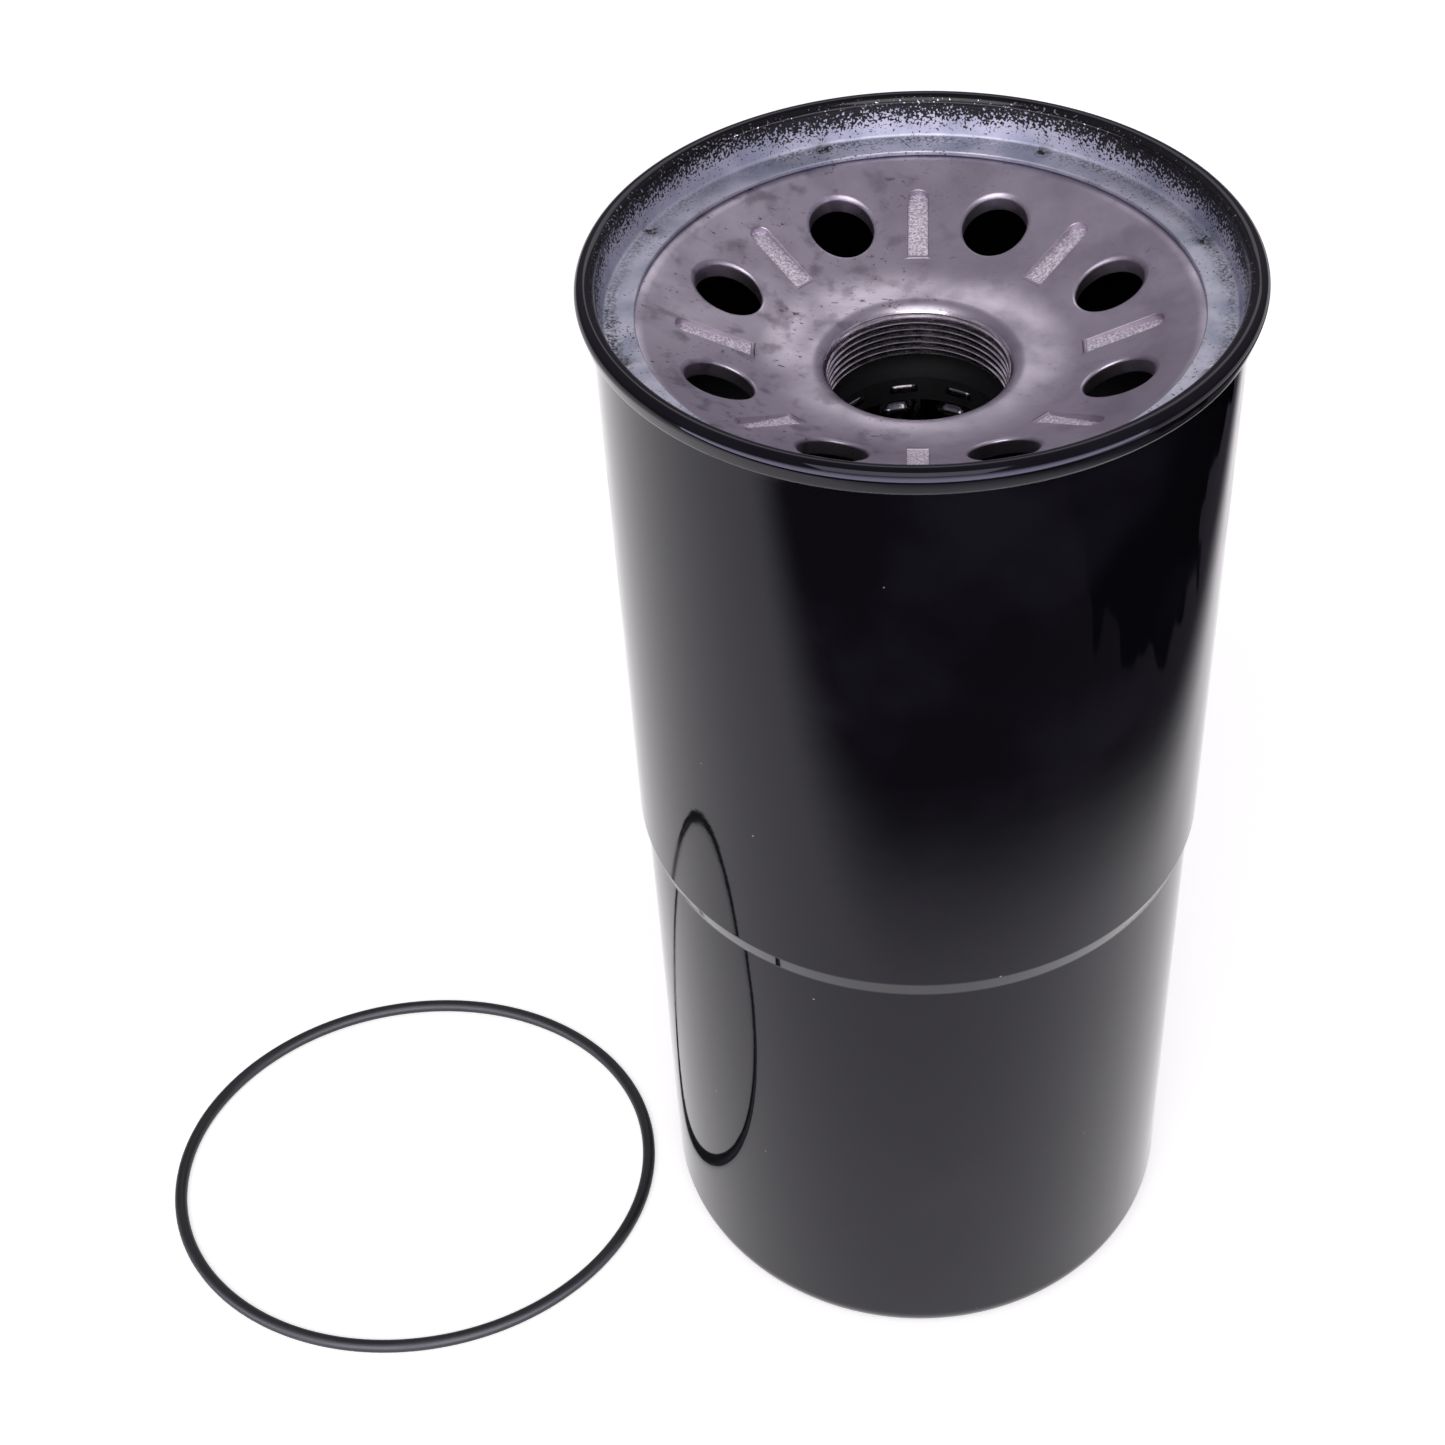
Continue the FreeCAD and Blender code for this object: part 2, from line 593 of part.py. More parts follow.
def slot_rows(body, name, level, rows, turn):
    """One set of slots: a slot cut through the wall, repeated up the tube and then around it."""
    sketch = new_sketch(body, name, "XZ_Plane")
    half = "louvre_width / 2"
    corners = [
        (f"-({half})", level),
        (half, level),
        (half, f"{level} + louvre_height"),
        (f"-({half})", f"{level} + louvre_height"),
    ]
    draw_outline(sketch, corners)
    sketch.AttachmentOffset = Placement(Vector(0, 0, 0), Rotation(Vector(0, 1, 0), 1))
    bind(sketch, "AttachmentOffset.Rotation.Angle", turn)
    slot = cut_through(body, sketch)
    many = body.newObject("PartDesign::MultiTransform", name + "_rows")
    up = body.newObject("PartDesign::LinearPattern", name + "_up")
    up.Direction = (origin_part(body, "Z_Axis"), [""])
    bind(up, "Length", f"2 * louvre_pitch * ({rows} - 1)")
    bind(up, "Occurrences", rows)
    around = body.newObject("PartDesign::PolarPattern", name + "_around")
    around.Axis = (origin_part(body, "Z_Axis"), [""])
    around.Angle = 360
    bind(around, "Occurrences", "louvre_count")
    many.Originals = [slot]
    many.Transformations = [up, around]
    body.Tip = many
    body.Document.recompute()
    return many


def bypass_cage(doc):
    """Pressed cage in the centre tube: it clamps under the tube, guides the poppet and holds its spring."""
    bore = "(cage_radius - cage_sheet)"
    corners = [
        (bore, VALVE_SEAT),
        (bore, CAGE_ROOF),
        ("stem_radius + stem_play", CAGE_ROOF),
        ("stem_radius + stem_play", CAGE_TOP),
        ("cage_radius", CAGE_TOP),
        ("cage_radius", f"{VALVE_SEAT} + cage_sheet"),
        ("tube_radius", f"{VALVE_SEAT} + cage_sheet"),
        ("tube_radius", VALVE_SEAT),
    ]
    body = revolve(doc, "bypass_cage", corners)
    for plane in ("XZ_Plane", "YZ_Plane"):
        sketch = new_sketch(body, "cage_window_" + plane[:2], plane)
        base, top = f"{VALVE_SEAT} + window_base", f"{VALVE_SEAT} + window_base + window_rise"
        corners = [
            ("-(cage_window / 2)", base),
            ("cage_window / 2", base),
            ("cage_window / 2", top),
            ("-(cage_window / 2)", top),
        ]
        draw_outline(sketch, corners)
        cut_through(body, sketch, both_ways=True)
    return body


def bypass_poppet(doc):
    """Bypass poppet: a disc with a stem that slides in the cage."""
    corners = [
        ("0", POPPET_BASE),
        ("poppet_radius", POPPET_BASE),
        ("poppet_radius", POPPET_TOP),
        ("stem_radius", POPPET_TOP),
        ("stem_radius", f"{CAGE_TOP} + stem_proud"),
        ("0", f"{CAGE_TOP} + stem_proud"),
    ]
    return revolve(doc, "bypass_poppet", corners)


def poppet_washer(doc):
    """Rubber washer under the poppet, which closes the bypass hole."""
    return revolve(
        doc, "poppet_washer", ring_outline("washer_bore", "washer_radius", VALVE_SEAT, POPPET_BASE)
    )


def spring_cup(doc):
    """Pressed cup under the lower end cap that keeps the element spring centred."""
    wall = "(spring_radius + spring_wire / 2 + cup_play)"
    corners = [
        ("cup_bore", f"{LOW_CAP} - cup_sheet"),
        ("cup_bore", LOW_CAP),
        (f"{wall} + cup_sheet", LOW_CAP),
        (f"{wall} + cup_sheet", f"{LOW_CAP} - cup_sheet - cup_rim"),
        (wall, f"{LOW_CAP} - cup_sheet - cup_rim"),
        (wall, f"{LOW_CAP} - cup_sheet"),
    ]
    return revolve(doc, "spring_cup", corners)


def coil(doc, name, radius, wire, pitch, base, top):
    """A round-wire compression spring between two heights, wound as a helix."""
    body = new_body(doc, name)
    sketch = new_sketch(body, name + "_wire", "XZ_Plane")
    half = f"{wire} / 2"
    start = f"{base} + spring_play + {half}"
    corners = [
        (radius, f"{start} - {half}", half, "left"),
        (f"{radius} + {half}", start, half, "left"),
        (radius, f"{start} + {half}", half, "left"),
        (f"{radius} - {half}", start, half, "left"),
    ]
    draw_outline(sketch, corners)
    doc.recompute()
    wound = body.newObject("PartDesign::AdditiveHelix", name + "_coil")
    wound.Profile = sketch
    wound.ReferenceAxis = (sketch, ["V_Axis"])
    wound.Mode = "pitch-height-angle"
    bind(wound, "Pitch", pitch)
    bind(wound, "Height", f"{top} - spring_play - {half} - ({start})")
    body.Tip = wound
    return body


def element_spring(doc):
    """Spring under the element, which pushes it up against the base plate's neck."""
    size = ("spring_radius", "spring_wire", "spring_pitch")
    return coil(doc, "element_spring", *size, "can_wall", f"({LOW_CAP} - cup_sheet)")


def bypass_spring(doc):
    """Spring that keeps the bypass poppet shut."""
    size = ("relief_radius", "relief_wire", "relief_pitch")
    return coil(doc, "bypass_spring", *size, POPPET_TOP, CAGE_ROOF)


def pleat_fold(doc):
    """Half the angle from one pleat to the next, in radians."""
    return math.pi / worth(doc, "pleat_count")


def pleated_media(doc):
    """Pleated filter paper: a star-shaped zigzag of even thickness, bonded between the end caps."""
    inner, outer = worth(doc, "media_inner"), worth(doc, MEDIA_OUTER)
    paper, half = worth(doc, "paper_thick"), pleat_fold(doc)
    slant = math.atan2(inner * math.sin(half), outer - inner * math.cos(half))
    tip_back = outer - paper / math.sin(slant)
    fold_out = inner + paper / math.sin(slant + half)
    base, top = worth(doc, MEDIA_BASE), worth(doc, MEDIA_TOP)
    outline = zigzag_face(doc, fold_out, outer, base)
    core = zigzag_face(doc, inner, tip_back, base)
    media = doc.addObject("Part::Feature", "pleated_media")
    media.Shape = outline.cut(core).extrude(Vector(0, 0, top - base))
    media.Placement = Placement()
    return media


def zigzag_face(doc, inner, outer, level):
    """The flat star between two radii, with one point for each pleat."""
    half = pleat_fold(doc)
    points = []
    for step in range(2 * int(worth(doc, "pleat_count"))):
        radius = inner if step % 2 else outer
        points.append(Vector(radius * math.cos(step * half), radius * math.sin(step * half), level))
    return Part.Face(Part.makePolygon([*points, points[0]]))


def media_seam_clip(doc):
    """Folded steel strip that joins the two ends of the filter paper over one pleat's tip."""
    body = new_body(doc, "media_seam_clip")
    sketch = new_sketch(body, "clip_section", "XY_Plane")
    slot = "(paper_thick + clip_gap)"
    tip = f"({MEDIA_OUTER} + clip_gap)"
    corners = [
        (f"{tip} - clip_reach", slot),
        (f"{tip} - clip_reach", f"{slot} + clip_sheet"),
        (f"{tip} + clip_sheet", f"{slot} + clip_sheet"),
        (f"{tip} + clip_sheet", f"-({slot} + clip_sheet)"),
        (f"{tip} - clip_reach", f"-({slot} + clip_sheet)"),
        (f"{tip} - clip_reach", f"-({slot})"),
        (tip, f"-({slot})"),
        (tip, slot),
    ]
    draw_outline(sketch, corners)
    bind(sketch, "AttachmentOffset.Base.z", MEDIA_BASE)
    folded = body.newObject("PartDesign::Pad", "clip_folded")
    folded.Profile = sketch
    bind(folded, "Length", f"{MEDIA_TOP} - {MEDIA_BASE}")
    body.Tip = folded
    return body


def pleat_bands(doc):
    """Bands around the pleats, evenly spaced, that keep them from ballooning."""
    inner = f"({MEDIA_OUTER} + clip_gap + clip_sheet + band_gap)"
    count = int(worth(doc, "band_count"))
    bands = []
    for index in range(count):
        middle = f"{MEDIA_BASE} + ({MEDIA_TOP} - {MEDIA_BASE}) * {index + 1} / (band_count + 1)"
        level = f"{middle} - band_width / 2"
        outside = band_cylinder(doc, f"band_outside_{index}", f"{inner} + band_sheet", level)
        inside = band_cylinder(doc, f"band_inside_{index}", inner, level)
        band = doc.addObject("Part::Cut", f"band_{index}")
        band.Base, band.Tool = outside, inside
        bands.append(band)
    group = doc.addObject("Part::Compound", "pleat_bands")
    group.Links = bands
    return group


def band_cylinder(doc, name, radius, level):
    """A disc as tall as a band, at a formula's height."""
    disc = doc.addObject("Part::Cylinder", name)
    bind(disc, "Radius", radius)
    bind(disc, "Height", "band_width")
    bind(disc, "Placement.Base.z", level)
    return disc


def o_ring(doc):
    """O-ring, lying loose and slightly out of round beside the can, on the surface the filter stands on."""
    body = new_body(doc, "o_ring")
    path = new_sketch(body, "o_ring_line", "XY_Plane")
    long, short = worth(doc, ORING_LONG), worth(doc, ORING_SHORT)
    line = path.addGeometry(Part.Ellipse(Vector(long, 0, 0), Vector(0, short, 0), Vector(0, 0, 0)))
    path.addConstraint(Sketcher.Constraint("Coincident", line, 3, -1, 1))
    path.exposeInternalGeometry(line)
    major, minor = line + 1, line + 2
    path.addConstraint(Sketcher.Constraint("Horizontal", major))
    for geometry, text in ((major, ORING_LONG), (minor, ORING_SHORT)):
        number = 2 * worth(doc, text)
        index = path.addConstraint(Sketcher.Constraint("Distance", geometry, number))
        bind(path, f"Constraints[{index}]", f"2 * {text}")
    section = new_sketch(body, "o_ring_section", "XZ_Plane")
    add_circle(section, (ORING_LONG, "0"), "oring_section / 2")
    doc.recompute()
    swept = body.newObject("PartDesign::AdditivePipe", "o_ring_tube")
    swept.Profile = section
    swept.Spine = (path, ["Edge1"])
    body.Tip = swept
    aside = f"(can_radius + lip_proud + oring_apart + {ORING_LONG} + oring_section / 2)"
    bind(body, ".Placement.Base.x", f"-{aside}")
    bind(body, ".Placement.Base.y", "-oring_forward")
    bind(body, ".Placement.Base.z", "oring_section / 2")
    bind(body, ".Placement.Rotation.Angle", "oring_turn")
    return body


PIECES = (
    outer_can,
    seaming_ring,
    seam_sealant,
    base_plate,
    inner_seal,
    top_end_cap,
    top_potting,
    pleated_media,
    media_seam_clip,
    pleat_bands,
    centre_tube,
    bottom_potting,
    bottom_end_cap,
    bypass_cage,
    bypass_poppet,
    poppet_washer,
    bypass_spring,
    spring_cup,
    element_spring,
    o_ring,
)


def check(doc, pieces):
    """Stop if any object failed to compute, or a piece is not a sound solid."""
    for item in doc.Objects:
        if "Invalid" in item.State or "Error" in item.State:
            raise RuntimeError(f"{item.Name} failed: {item.State}")
    for piece in pieces:
        shape = piece.Shape
        if shape.isNull() or not shape.isValid() or not shape.Solids:
            raise RuntimeError(f"{piece.Label} is not a sound solid")
        print(f"{piece.Label}: {len(shape.Solids)} solid, {shape.Volume / 1000:.2f} cm3")


def main():
    """Build every piece and write each one to its own STEP file."""
    doc = FreeCAD.newDocument("oil_filter")
    make_sheet(doc)
    pieces = []
    for make in PIECES:
        piece = make(doc)
        piece.Label = make.__name__
        pieces.append(piece)
        doc.recompute()
    check(doc, pieces)
    os.makedirs("parts", exist_ok=True)
    for piece in pieces:
        piece.Shape.exportStep(f"parts/{piece.Label}.step")


main()
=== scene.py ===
"""Looks of the spin-on oil filter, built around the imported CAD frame.

Each sub-assembly is a class that models its pieces and dresses them. Pieces are modelled in
millimetres, and are brought to metres when they are settled into the frame.
"""

import json
import logging
import math
from collections.abc import Callable
from dataclasses import dataclass
from enum import Enum

import bmesh
import bpy
import numpy as np
from mathutils import Matrix, Vector

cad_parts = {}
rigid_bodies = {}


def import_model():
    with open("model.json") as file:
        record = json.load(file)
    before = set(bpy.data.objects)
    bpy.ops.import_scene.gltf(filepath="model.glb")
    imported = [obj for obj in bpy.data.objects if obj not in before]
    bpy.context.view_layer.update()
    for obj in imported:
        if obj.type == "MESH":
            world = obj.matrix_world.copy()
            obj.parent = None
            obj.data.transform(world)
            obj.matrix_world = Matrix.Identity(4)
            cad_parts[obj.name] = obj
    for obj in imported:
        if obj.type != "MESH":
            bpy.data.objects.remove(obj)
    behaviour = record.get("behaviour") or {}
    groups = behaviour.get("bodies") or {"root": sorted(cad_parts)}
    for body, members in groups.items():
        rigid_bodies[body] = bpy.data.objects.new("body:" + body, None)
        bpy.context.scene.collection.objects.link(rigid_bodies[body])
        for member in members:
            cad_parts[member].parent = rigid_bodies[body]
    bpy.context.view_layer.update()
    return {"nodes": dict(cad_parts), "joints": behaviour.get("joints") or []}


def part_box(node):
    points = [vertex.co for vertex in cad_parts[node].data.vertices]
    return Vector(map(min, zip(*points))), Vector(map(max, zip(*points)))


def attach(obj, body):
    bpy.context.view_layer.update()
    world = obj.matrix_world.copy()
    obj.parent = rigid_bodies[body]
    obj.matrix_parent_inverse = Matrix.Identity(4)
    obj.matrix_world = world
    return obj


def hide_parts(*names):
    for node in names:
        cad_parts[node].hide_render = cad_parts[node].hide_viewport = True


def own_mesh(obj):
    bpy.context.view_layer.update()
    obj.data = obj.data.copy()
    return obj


LOG = logging.getLogger("oil_filter")
MM = 0.001
FULL_TURN = 2 * math.pi
SAME_PLACE = 0.002  # mm, vertices closer than this are one vertex


class Cut(Enum):
    """Which part a bisecting plane leaves."""

    NOTHING = "nothing"
    ABOVE = "above"
    BELOW = "below"


class Step(Enum):
    """A step of a finish.

    Each gives the node's kind, its settings, the sockets that are filled in order, and the result's socket.
    """

    PLACE = ("TexCoord", {}, (), "Object")
    SPLIT = ("SeparateXYZ", {}, ("Vector",), "Z")
    FLATTEN = ("CombineXYZ", {}, ("X", "Y"), 0)
    RED = ("SeparateColor", {}, ("Color",), "Red")
    LENGTH = ("VectorMath", {"operation": "LENGTH"}, (0,), "Value")
    STRETCH = ("Mapping", {}, ("Vector", "Scale", "Rotation"), 0)
    NOISE = ("TexNoise", {}, ("Vector", "Scale", "Detail"), "Fac")
    CELLS = ("TexVoronoi", {}, ("Vector", "Scale"), "Distance")
    BAND = ("MapRange", {"interpolation_type": "SMOOTHSTEP"}, ("Value", "From Min", "From Max"), 0)
    SPREAD = ("MapRange", {}, ("Value", "To Min", "To Max"), 0)
    TINT = ("Mix", {"data_type": "RGBA"}, (0, 6, 7), 2)
    SHADE = ("Mix", {"data_type": "RGBA", "blend_type": "MULTIPLY"}, (0, 6, 7), 2)
    EMBOSS = ("Bump", {}, ("Height", "Distance", "Normal"), 0)
    ADD = ("Math", {"operation": "ADD"}, (0, 1), 0)
    SUBTRACT = ("Math", {"operation": "SUBTRACT"}, (0, 1), 0)
    MULTIPLY = ("Math", {"operation": "MULTIPLY"}, (0, 1), 0)
    DIVIDE = ("Math", {"operation": "DIVIDE"}, (0, 1), 0)
    MAXIMUM = ("Math", {"operation": "MAXIMUM"}, (0, 1), 0)
    MINIMUM = ("Math", {"operation": "MINIMUM"}, (0, 1), 0)
    ARCTAN2 = ("Math", {"operation": "ARCTAN2"}, (0, 1), 0)
    PINGPONG = ("Math", {"operation": "PINGPONG"}, (0, 1), 0)


def linear(colour: str) -> tuple[float, float, float, float]:
    """Turn an sRGB hex colour into linear light.

    Args:
        colour: Six hex digits with a leading hash.

    Returns:
        Red, green, blue and an alpha of one.
    """
    parts = [int(colour[i : i + 2], 16) / 255 for i in (1, 3, 5)]
    light = [p / 12.92 if p <= 0.04045 else ((p + 0.055) / 1.055) ** 2.4 for p in parts]
    return (*light, 1.0)


def fill(node: bpy.types.Node, inputs: dict) -> None:
    """Set a node's inputs.

    Args:
        node: The node.
        inputs: Socket name or number to a value, or to another node's result, which is linked.
    """
    for key, value in inputs.items():
        if isinstance(value, bpy.types.NodeSocket):
            node.id_data.links.new(value, node.inputs[key])
        else:
            node.inputs[key].default_value = value


def add_node(tree: bpy.types.NodeTree, step: Step, *values) -> bpy.types.NodeSocket:
    """Add a node with its settings and links.

    Args:
        tree: The node tree.
        step: What the node does.
        values: What its sockets get, in the step's order.

    Returns:
        The node's result.
    """
    kind, settings, sockets, result = step.value
    node = tree.nodes.new("ShaderNode" + kind)
    for name, value in settings.items():
        setattr(node, name, value)
    fill(node, dict(zip(sockets, values)))
    return node.outputs[result]


def blotches(
    tree: bpy.types.NodeTree, place, size: float, start: float, end: float, detail: float = 2.0
) -> bpy.types.NodeSocket:
    """Cover a surface with soft blotches.

    Args:
        tree: The node tree.
        place: The coordinates, in metres.
        size: How far apart the blotches are, in millimetres.
        start: The noise level where a blotch begins.
        end: The noise level where it is full.
        detail: How many finer layers the blotches' edges have.

    Returns:
        0 between blotches and 1 inside them.
    """
    return add_node(tree, Step.BAND, add_node(tree, Step.NOISE, place, 1 / (size * MM), detail), start, end)


@dataclass(frozen=True)
class Finish:
    """What every finish has: a maker's name, and how its node tree starts and ends.

    Pattern sizes and depths are in millimetres. Where a comment says so, the real pattern is too fine to
    show, and is drawn as coarse as it needs to be.
    """

    name: str

    def start(self) -> tuple[bpy.types.Material, bpy.types.NodeTree, bpy.types.NodeSocket]:
        """Make the empty material.

        Returns:
            The material, its tree, and the coordinates on the piece in metres.
        """
        material = bpy.data.materials.new(self.name)
        material.use_nodes = True
        return material, material.node_tree, add_node(material.node_tree, Step.PLACE)

    def done(self, material: bpy.types.Material, inputs: dict) -> bpy.types.Material:
        """Give the material's shader its inputs.

        Args:
            material: The material.
            inputs: The shader's inputs.

        Returns:
            The material.
        """
        fill(material.node_tree.nodes["Principled BSDF"], inputs)
        return material


@dataclass(frozen=True)
class GlossEnamel(Finish):
    """Baked black enamel: a wet gloss with faint orange peel, dust in it, and handling smears."""

    name: str = "gloss_black_enamel"
    colour: str = "#08070b"
    dust_colour: str = "#8d8b92"
    smear_colour: str = "#121117"
    sheen: str = "#e2def2"
    smear_size: float = 38.0
    peel_size: float = 7.0
    peel_depth: float = 0.010
    grain_size: float = 1.3
    grain_depth: float = 0.0022
    dust_gap: float = 11.0

    def make(self) -> bpy.types.Material:
        """Build the material.

        Returns:
            The material.
        """
        material, tree, place = self.start()
        smear = blotches(tree, place, self.smear_size, 0.48, 0.72, 5.0)
        cells = add_node(tree, Step.CELLS, place, 1 / (self.dust_gap * MM))
        kept = add_node(tree, Step.RED, cells.node.outputs["Color"])
        kept = add_node(tree, Step.BAND, kept, 0.35, 0.4)
        dust = add_node(tree, Step.MULTIPLY, add_node(tree, Step.BAND, cells, 0.028, 0.014), kept)
        paint = add_node(tree, Step.TINT, smear, linear(self.colour), linear(self.smear_colour))
        smeared = add_node(tree, Step.SPREAD, smear, 0.035, 0.11)
        dusty = add_node(tree, Step.SPREAD, dust, 0.0, 0.4)
        peel = add_node(tree, Step.NOISE, place, 1 / (self.peel_size * MM), 1.0)
        grain = add_node(tree, Step.NOISE, place, 1 / (self.grain_size * MM), 1.0)
        under = add_node(tree, Step.EMBOSS, peel, self.peel_depth * MM)
        inputs = {
            "Base Color": add_node(tree, Step.TINT, dust, paint, linear(self.dust_colour)),
            "Roughness": add_node(tree, Step.ADD, smeared, dusty),
            "IOR": 1.45,
            "Specular IOR Level": 0.36,
            "Specular Tint": linear(self.sheen),
            "Normal": add_node(tree, Step.EMBOSS, grain, self.grain_depth * MM, under),
        }
        return self.done(material, inputs)


@dataclass(frozen=True)
class OversprayedZinc(Finish):
    """Bright zinc plate, blue-grey and satin, with black enamel dusted over it from the lip inwards."""

    name: str = "zinc_plate_with_overspray"
    zinc: str = "#cfcfdb"
    dull_zinc: str = "#a6aabb"
    enamel: str = "#0a090b"
    paint_full: float = 279.0
    paint_gone: float = 269.6
    solid_from: float = 276.3
    solid_to: float = 277.9
    grain: float = 0.55  # spray droplets are nearer 0.1; drawn coarser
    grain_depth: float = 0.018
    dull_size: float = 9.0
    drift_size: float = 22.0
    smudge_size: float = 1.8
    crease: float = 63.0
    stake_count: int = 8
    stake_turn: float = 19.5
    stake_circle: float = 61.1

    def make(self) -> bpy.types.Material:
        """Build the material.

        Returns:
            The material.
        """
        material, tree, place = self.start()
        split = add_node(tree, Step.SPLIT, place).node.outputs
        level = add_node(tree, Step.BAND, split["Z"], self.paint_gone * MM, self.paint_full * MM)
        reach = add_node(tree, Step.LENGTH, add_node(tree, Step.FLATTEN, split["X"], split["Y"]))
        grains = add_node(tree, Step.NOISE, place, 1 / (self.grain * MM), 1.5)
        drift = blotches(tree, place, self.drift_size, 0.3, 0.7)
        lifted = add_node(tree, Step.ADD, level, add_node(tree, Step.SPREAD, drift, -0.12, 0.12))
        dusted = add_node(tree, Step.MULTIPLY, add_node(tree, Step.SUBTRACT, grains, 0.5), 2.6)
        wall = add_node(tree, Step.BAND, add_node(tree, Step.ADD, lifted, dusted), 0.38, 0.64)
        rising = add_node(tree, Step.BAND, reach, (self.crease - 4.2) * MM, (self.crease - 1.6) * MM)
        falling = add_node(tree, Step.BAND, reach, (self.crease + 0.1) * MM, (self.crease - 0.9) * MM)
        band = add_node(tree, Step.MULTIPLY, rising, falling)
        seat = add_node(tree, Step.MULTIPLY, band, add_node(tree, Step.BAND, grains, 0.36, 0.62))
        seat = add_node(tree, Step.MULTIPLY, seat, add_node(tree, Step.SPREAD, drift, 0.35, 1.0))
        paint = add_node(tree, Step.MAXIMUM, wall, add_node(tree, Step.SPREAD, seat, 0.0, 0.8))
        paint = add_node(tree, Step.ADD, paint, self.smudges(tree, split, reach, place))
        dull = blotches(tree, place, self.dull_size, 0.35, 0.75, 4.0)
        metal = add_node(tree, Step.TINT, dull, linear(self.zinc), linear(self.dull_zinc))
        solid = add_node(tree, Step.BAND, split["Z"], self.solid_from * MM, self.solid_to * MM)
        rough = add_node(tree, Step.SPREAD, grains, 0.42, 0.62)
        glossy = add_node(tree, Step.SPREAD, solid, 0.0, 0.40)
        gloss = add_node(tree, Step.SUBTRACT, rough, glossy)
        relief = add_node(tree, Step.MULTIPLY, grains, add_node(tree, Step.SPREAD, solid, 1.0, 0.06))
        inputs = {
            "Base Color": add_node(tree, Step.TINT, paint, metal, linear(self.enamel)),
            "Metallic": add_node(tree, Step.SPREAD, paint, 1.0, 0.0),
            "Roughness": add_node(tree, Step.MAXIMUM, gloss, 0.06),
            "Specular IOR Level": 0.36,
            "Normal": add_node(tree, Step.EMBOSS, relief, self.grain_depth * MM),
        }
        return self.done(material, inputs)

    def smudges(self, tree: bpy.types.NodeTree, split, reach, place) -> bpy.types.NodeSocket:
        """Dark smears where the ring is staked.

        Args:
            tree: The node tree.
            split: The coordinates, taken apart.
            reach: The distance from the axis.
            place: The coordinates.

        Returns:
            The smears' cover.
        """
        angle = add_node(tree, Step.ARCTAN2, split["Y"], split["X"])
        step = FULL_TURN / self.stake_count
        turned = add_node(tree, Step.DIVIDE, add_node(tree, Step.ADD, angle, 2 * FULL_TURN), step)
        part = add_node(tree, Step.SUBTRACT, turned, math.radians(self.stake_turn) / step)
        along = add_node(tree, Step.BAND, add_node(tree, Step.PINGPONG, part, 0.5), 0.05, 0.012)
        circle = self.stake_circle
        inner = add_node(tree, Step.BAND, reach, (circle - 2.4) * MM, circle * MM)
        outer = add_node(tree, Step.BAND, reach, (circle + 2.6) * MM, (circle + 0.6) * MM)
        spot = add_node(tree, Step.MULTIPLY, along, add_node(tree, Step.MULTIPLY, inner, outer))
        return add_node(tree, Step.MULTIPLY, spot, blotches(tree, place, self.smudge_size, 0.36, 0.62, 4.0))


@dataclass(frozen=True)
class PressedSteel(Finish):
    """Bare cold-rolled steel, stamped: mauve-grey satin with fine dark handling marks and soft stains."""

    name: str = "bare_pressed_steel"
    steel: str = "#c3bbc6"
    stain: str = "#a59da9"
    mark: str = "#5d5560"
    smudge: str = "#857c88"
    stain_size: float = 17.0
    marked_size: float = 14.0
    marked_from: float = 30.0
    fleck: float = 1.9
    speck: float = 0.9
    soil: float = 5.0
    grain: float = 0.7  # the rolled surface's grain is nearer 0.1; drawn coarser
    grain_depth: float = 0.02

    def make(self) -> bpy.types.Material:
        """Build the material.

        Returns:
            The material.
        """
        material, tree, place = self.start()
        split = add_node(tree, Step.SPLIT, place).node.outputs
        stain = blotches(tree, place, self.stain_size, 0.38, 0.68, 5.0)
        metal = add_node(tree, Step.TINT, stain, linear(self.steel), linear(self.stain))
        where = blotches(tree, place, self.marked_size, 0.44, 0.62, 2.0)
        left = add_node(tree, Step.BAND, split["X"], self.marked_from * MM, -self.marked_from * MM)
        left = add_node(tree, Step.SPREAD, left, 0.25, 1.0)
        stretched = add_node(tree, Step.STRETCH, place, (1.0, 1.7, 1.0), (0, 0, 0.6))
        flecks = blotches(tree, stretched, self.fleck, 0.62, 0.70, 6.0)
        specks = blotches(tree, place, self.speck, 0.68, 0.74, 2.0)
        marks = add_node(tree, Step.MULTIPLY, add_node(tree, Step.MAXIMUM, flecks, specks), where)
        marks = add_node(tree, Step.MULTIPLY, marks, left)
        soiled = add_node(tree, Step.MULTIPLY, blotches(tree, place, self.soil, 0.50, 0.70, 7.0), left)
        soiled = add_node(tree, Step.SPREAD, soiled, 0.0, 0.75)
        metal = add_node(tree, Step.TINT, soiled, metal, linear(self.smudge))
        stained = add_node(tree, Step.SPREAD, stain, 0.36, 0.46)
        scuffed = add_node(tree, Step.SPREAD, marks, 0.0, 0.15)
        grain = add_node(tree, Step.NOISE, place, 1 / (self.grain * MM), 4.0)
        relief = add_node(tree, Step.SUBTRACT, grain, add_node(tree, Step.SPREAD, marks, 0.0, 0.4))
        inputs = {
            "Base Color": add_node(tree, Step.TINT, marks, metal, linear(self.mark)),
            "Metallic": 1.0,
            "Roughness": add_node(tree, Step.ADD, stained, scuffed),
            "Normal": add_node(tree, Step.EMBOSS, relief, self.grain_depth * MM),
        }
        return self.done(material, inputs)


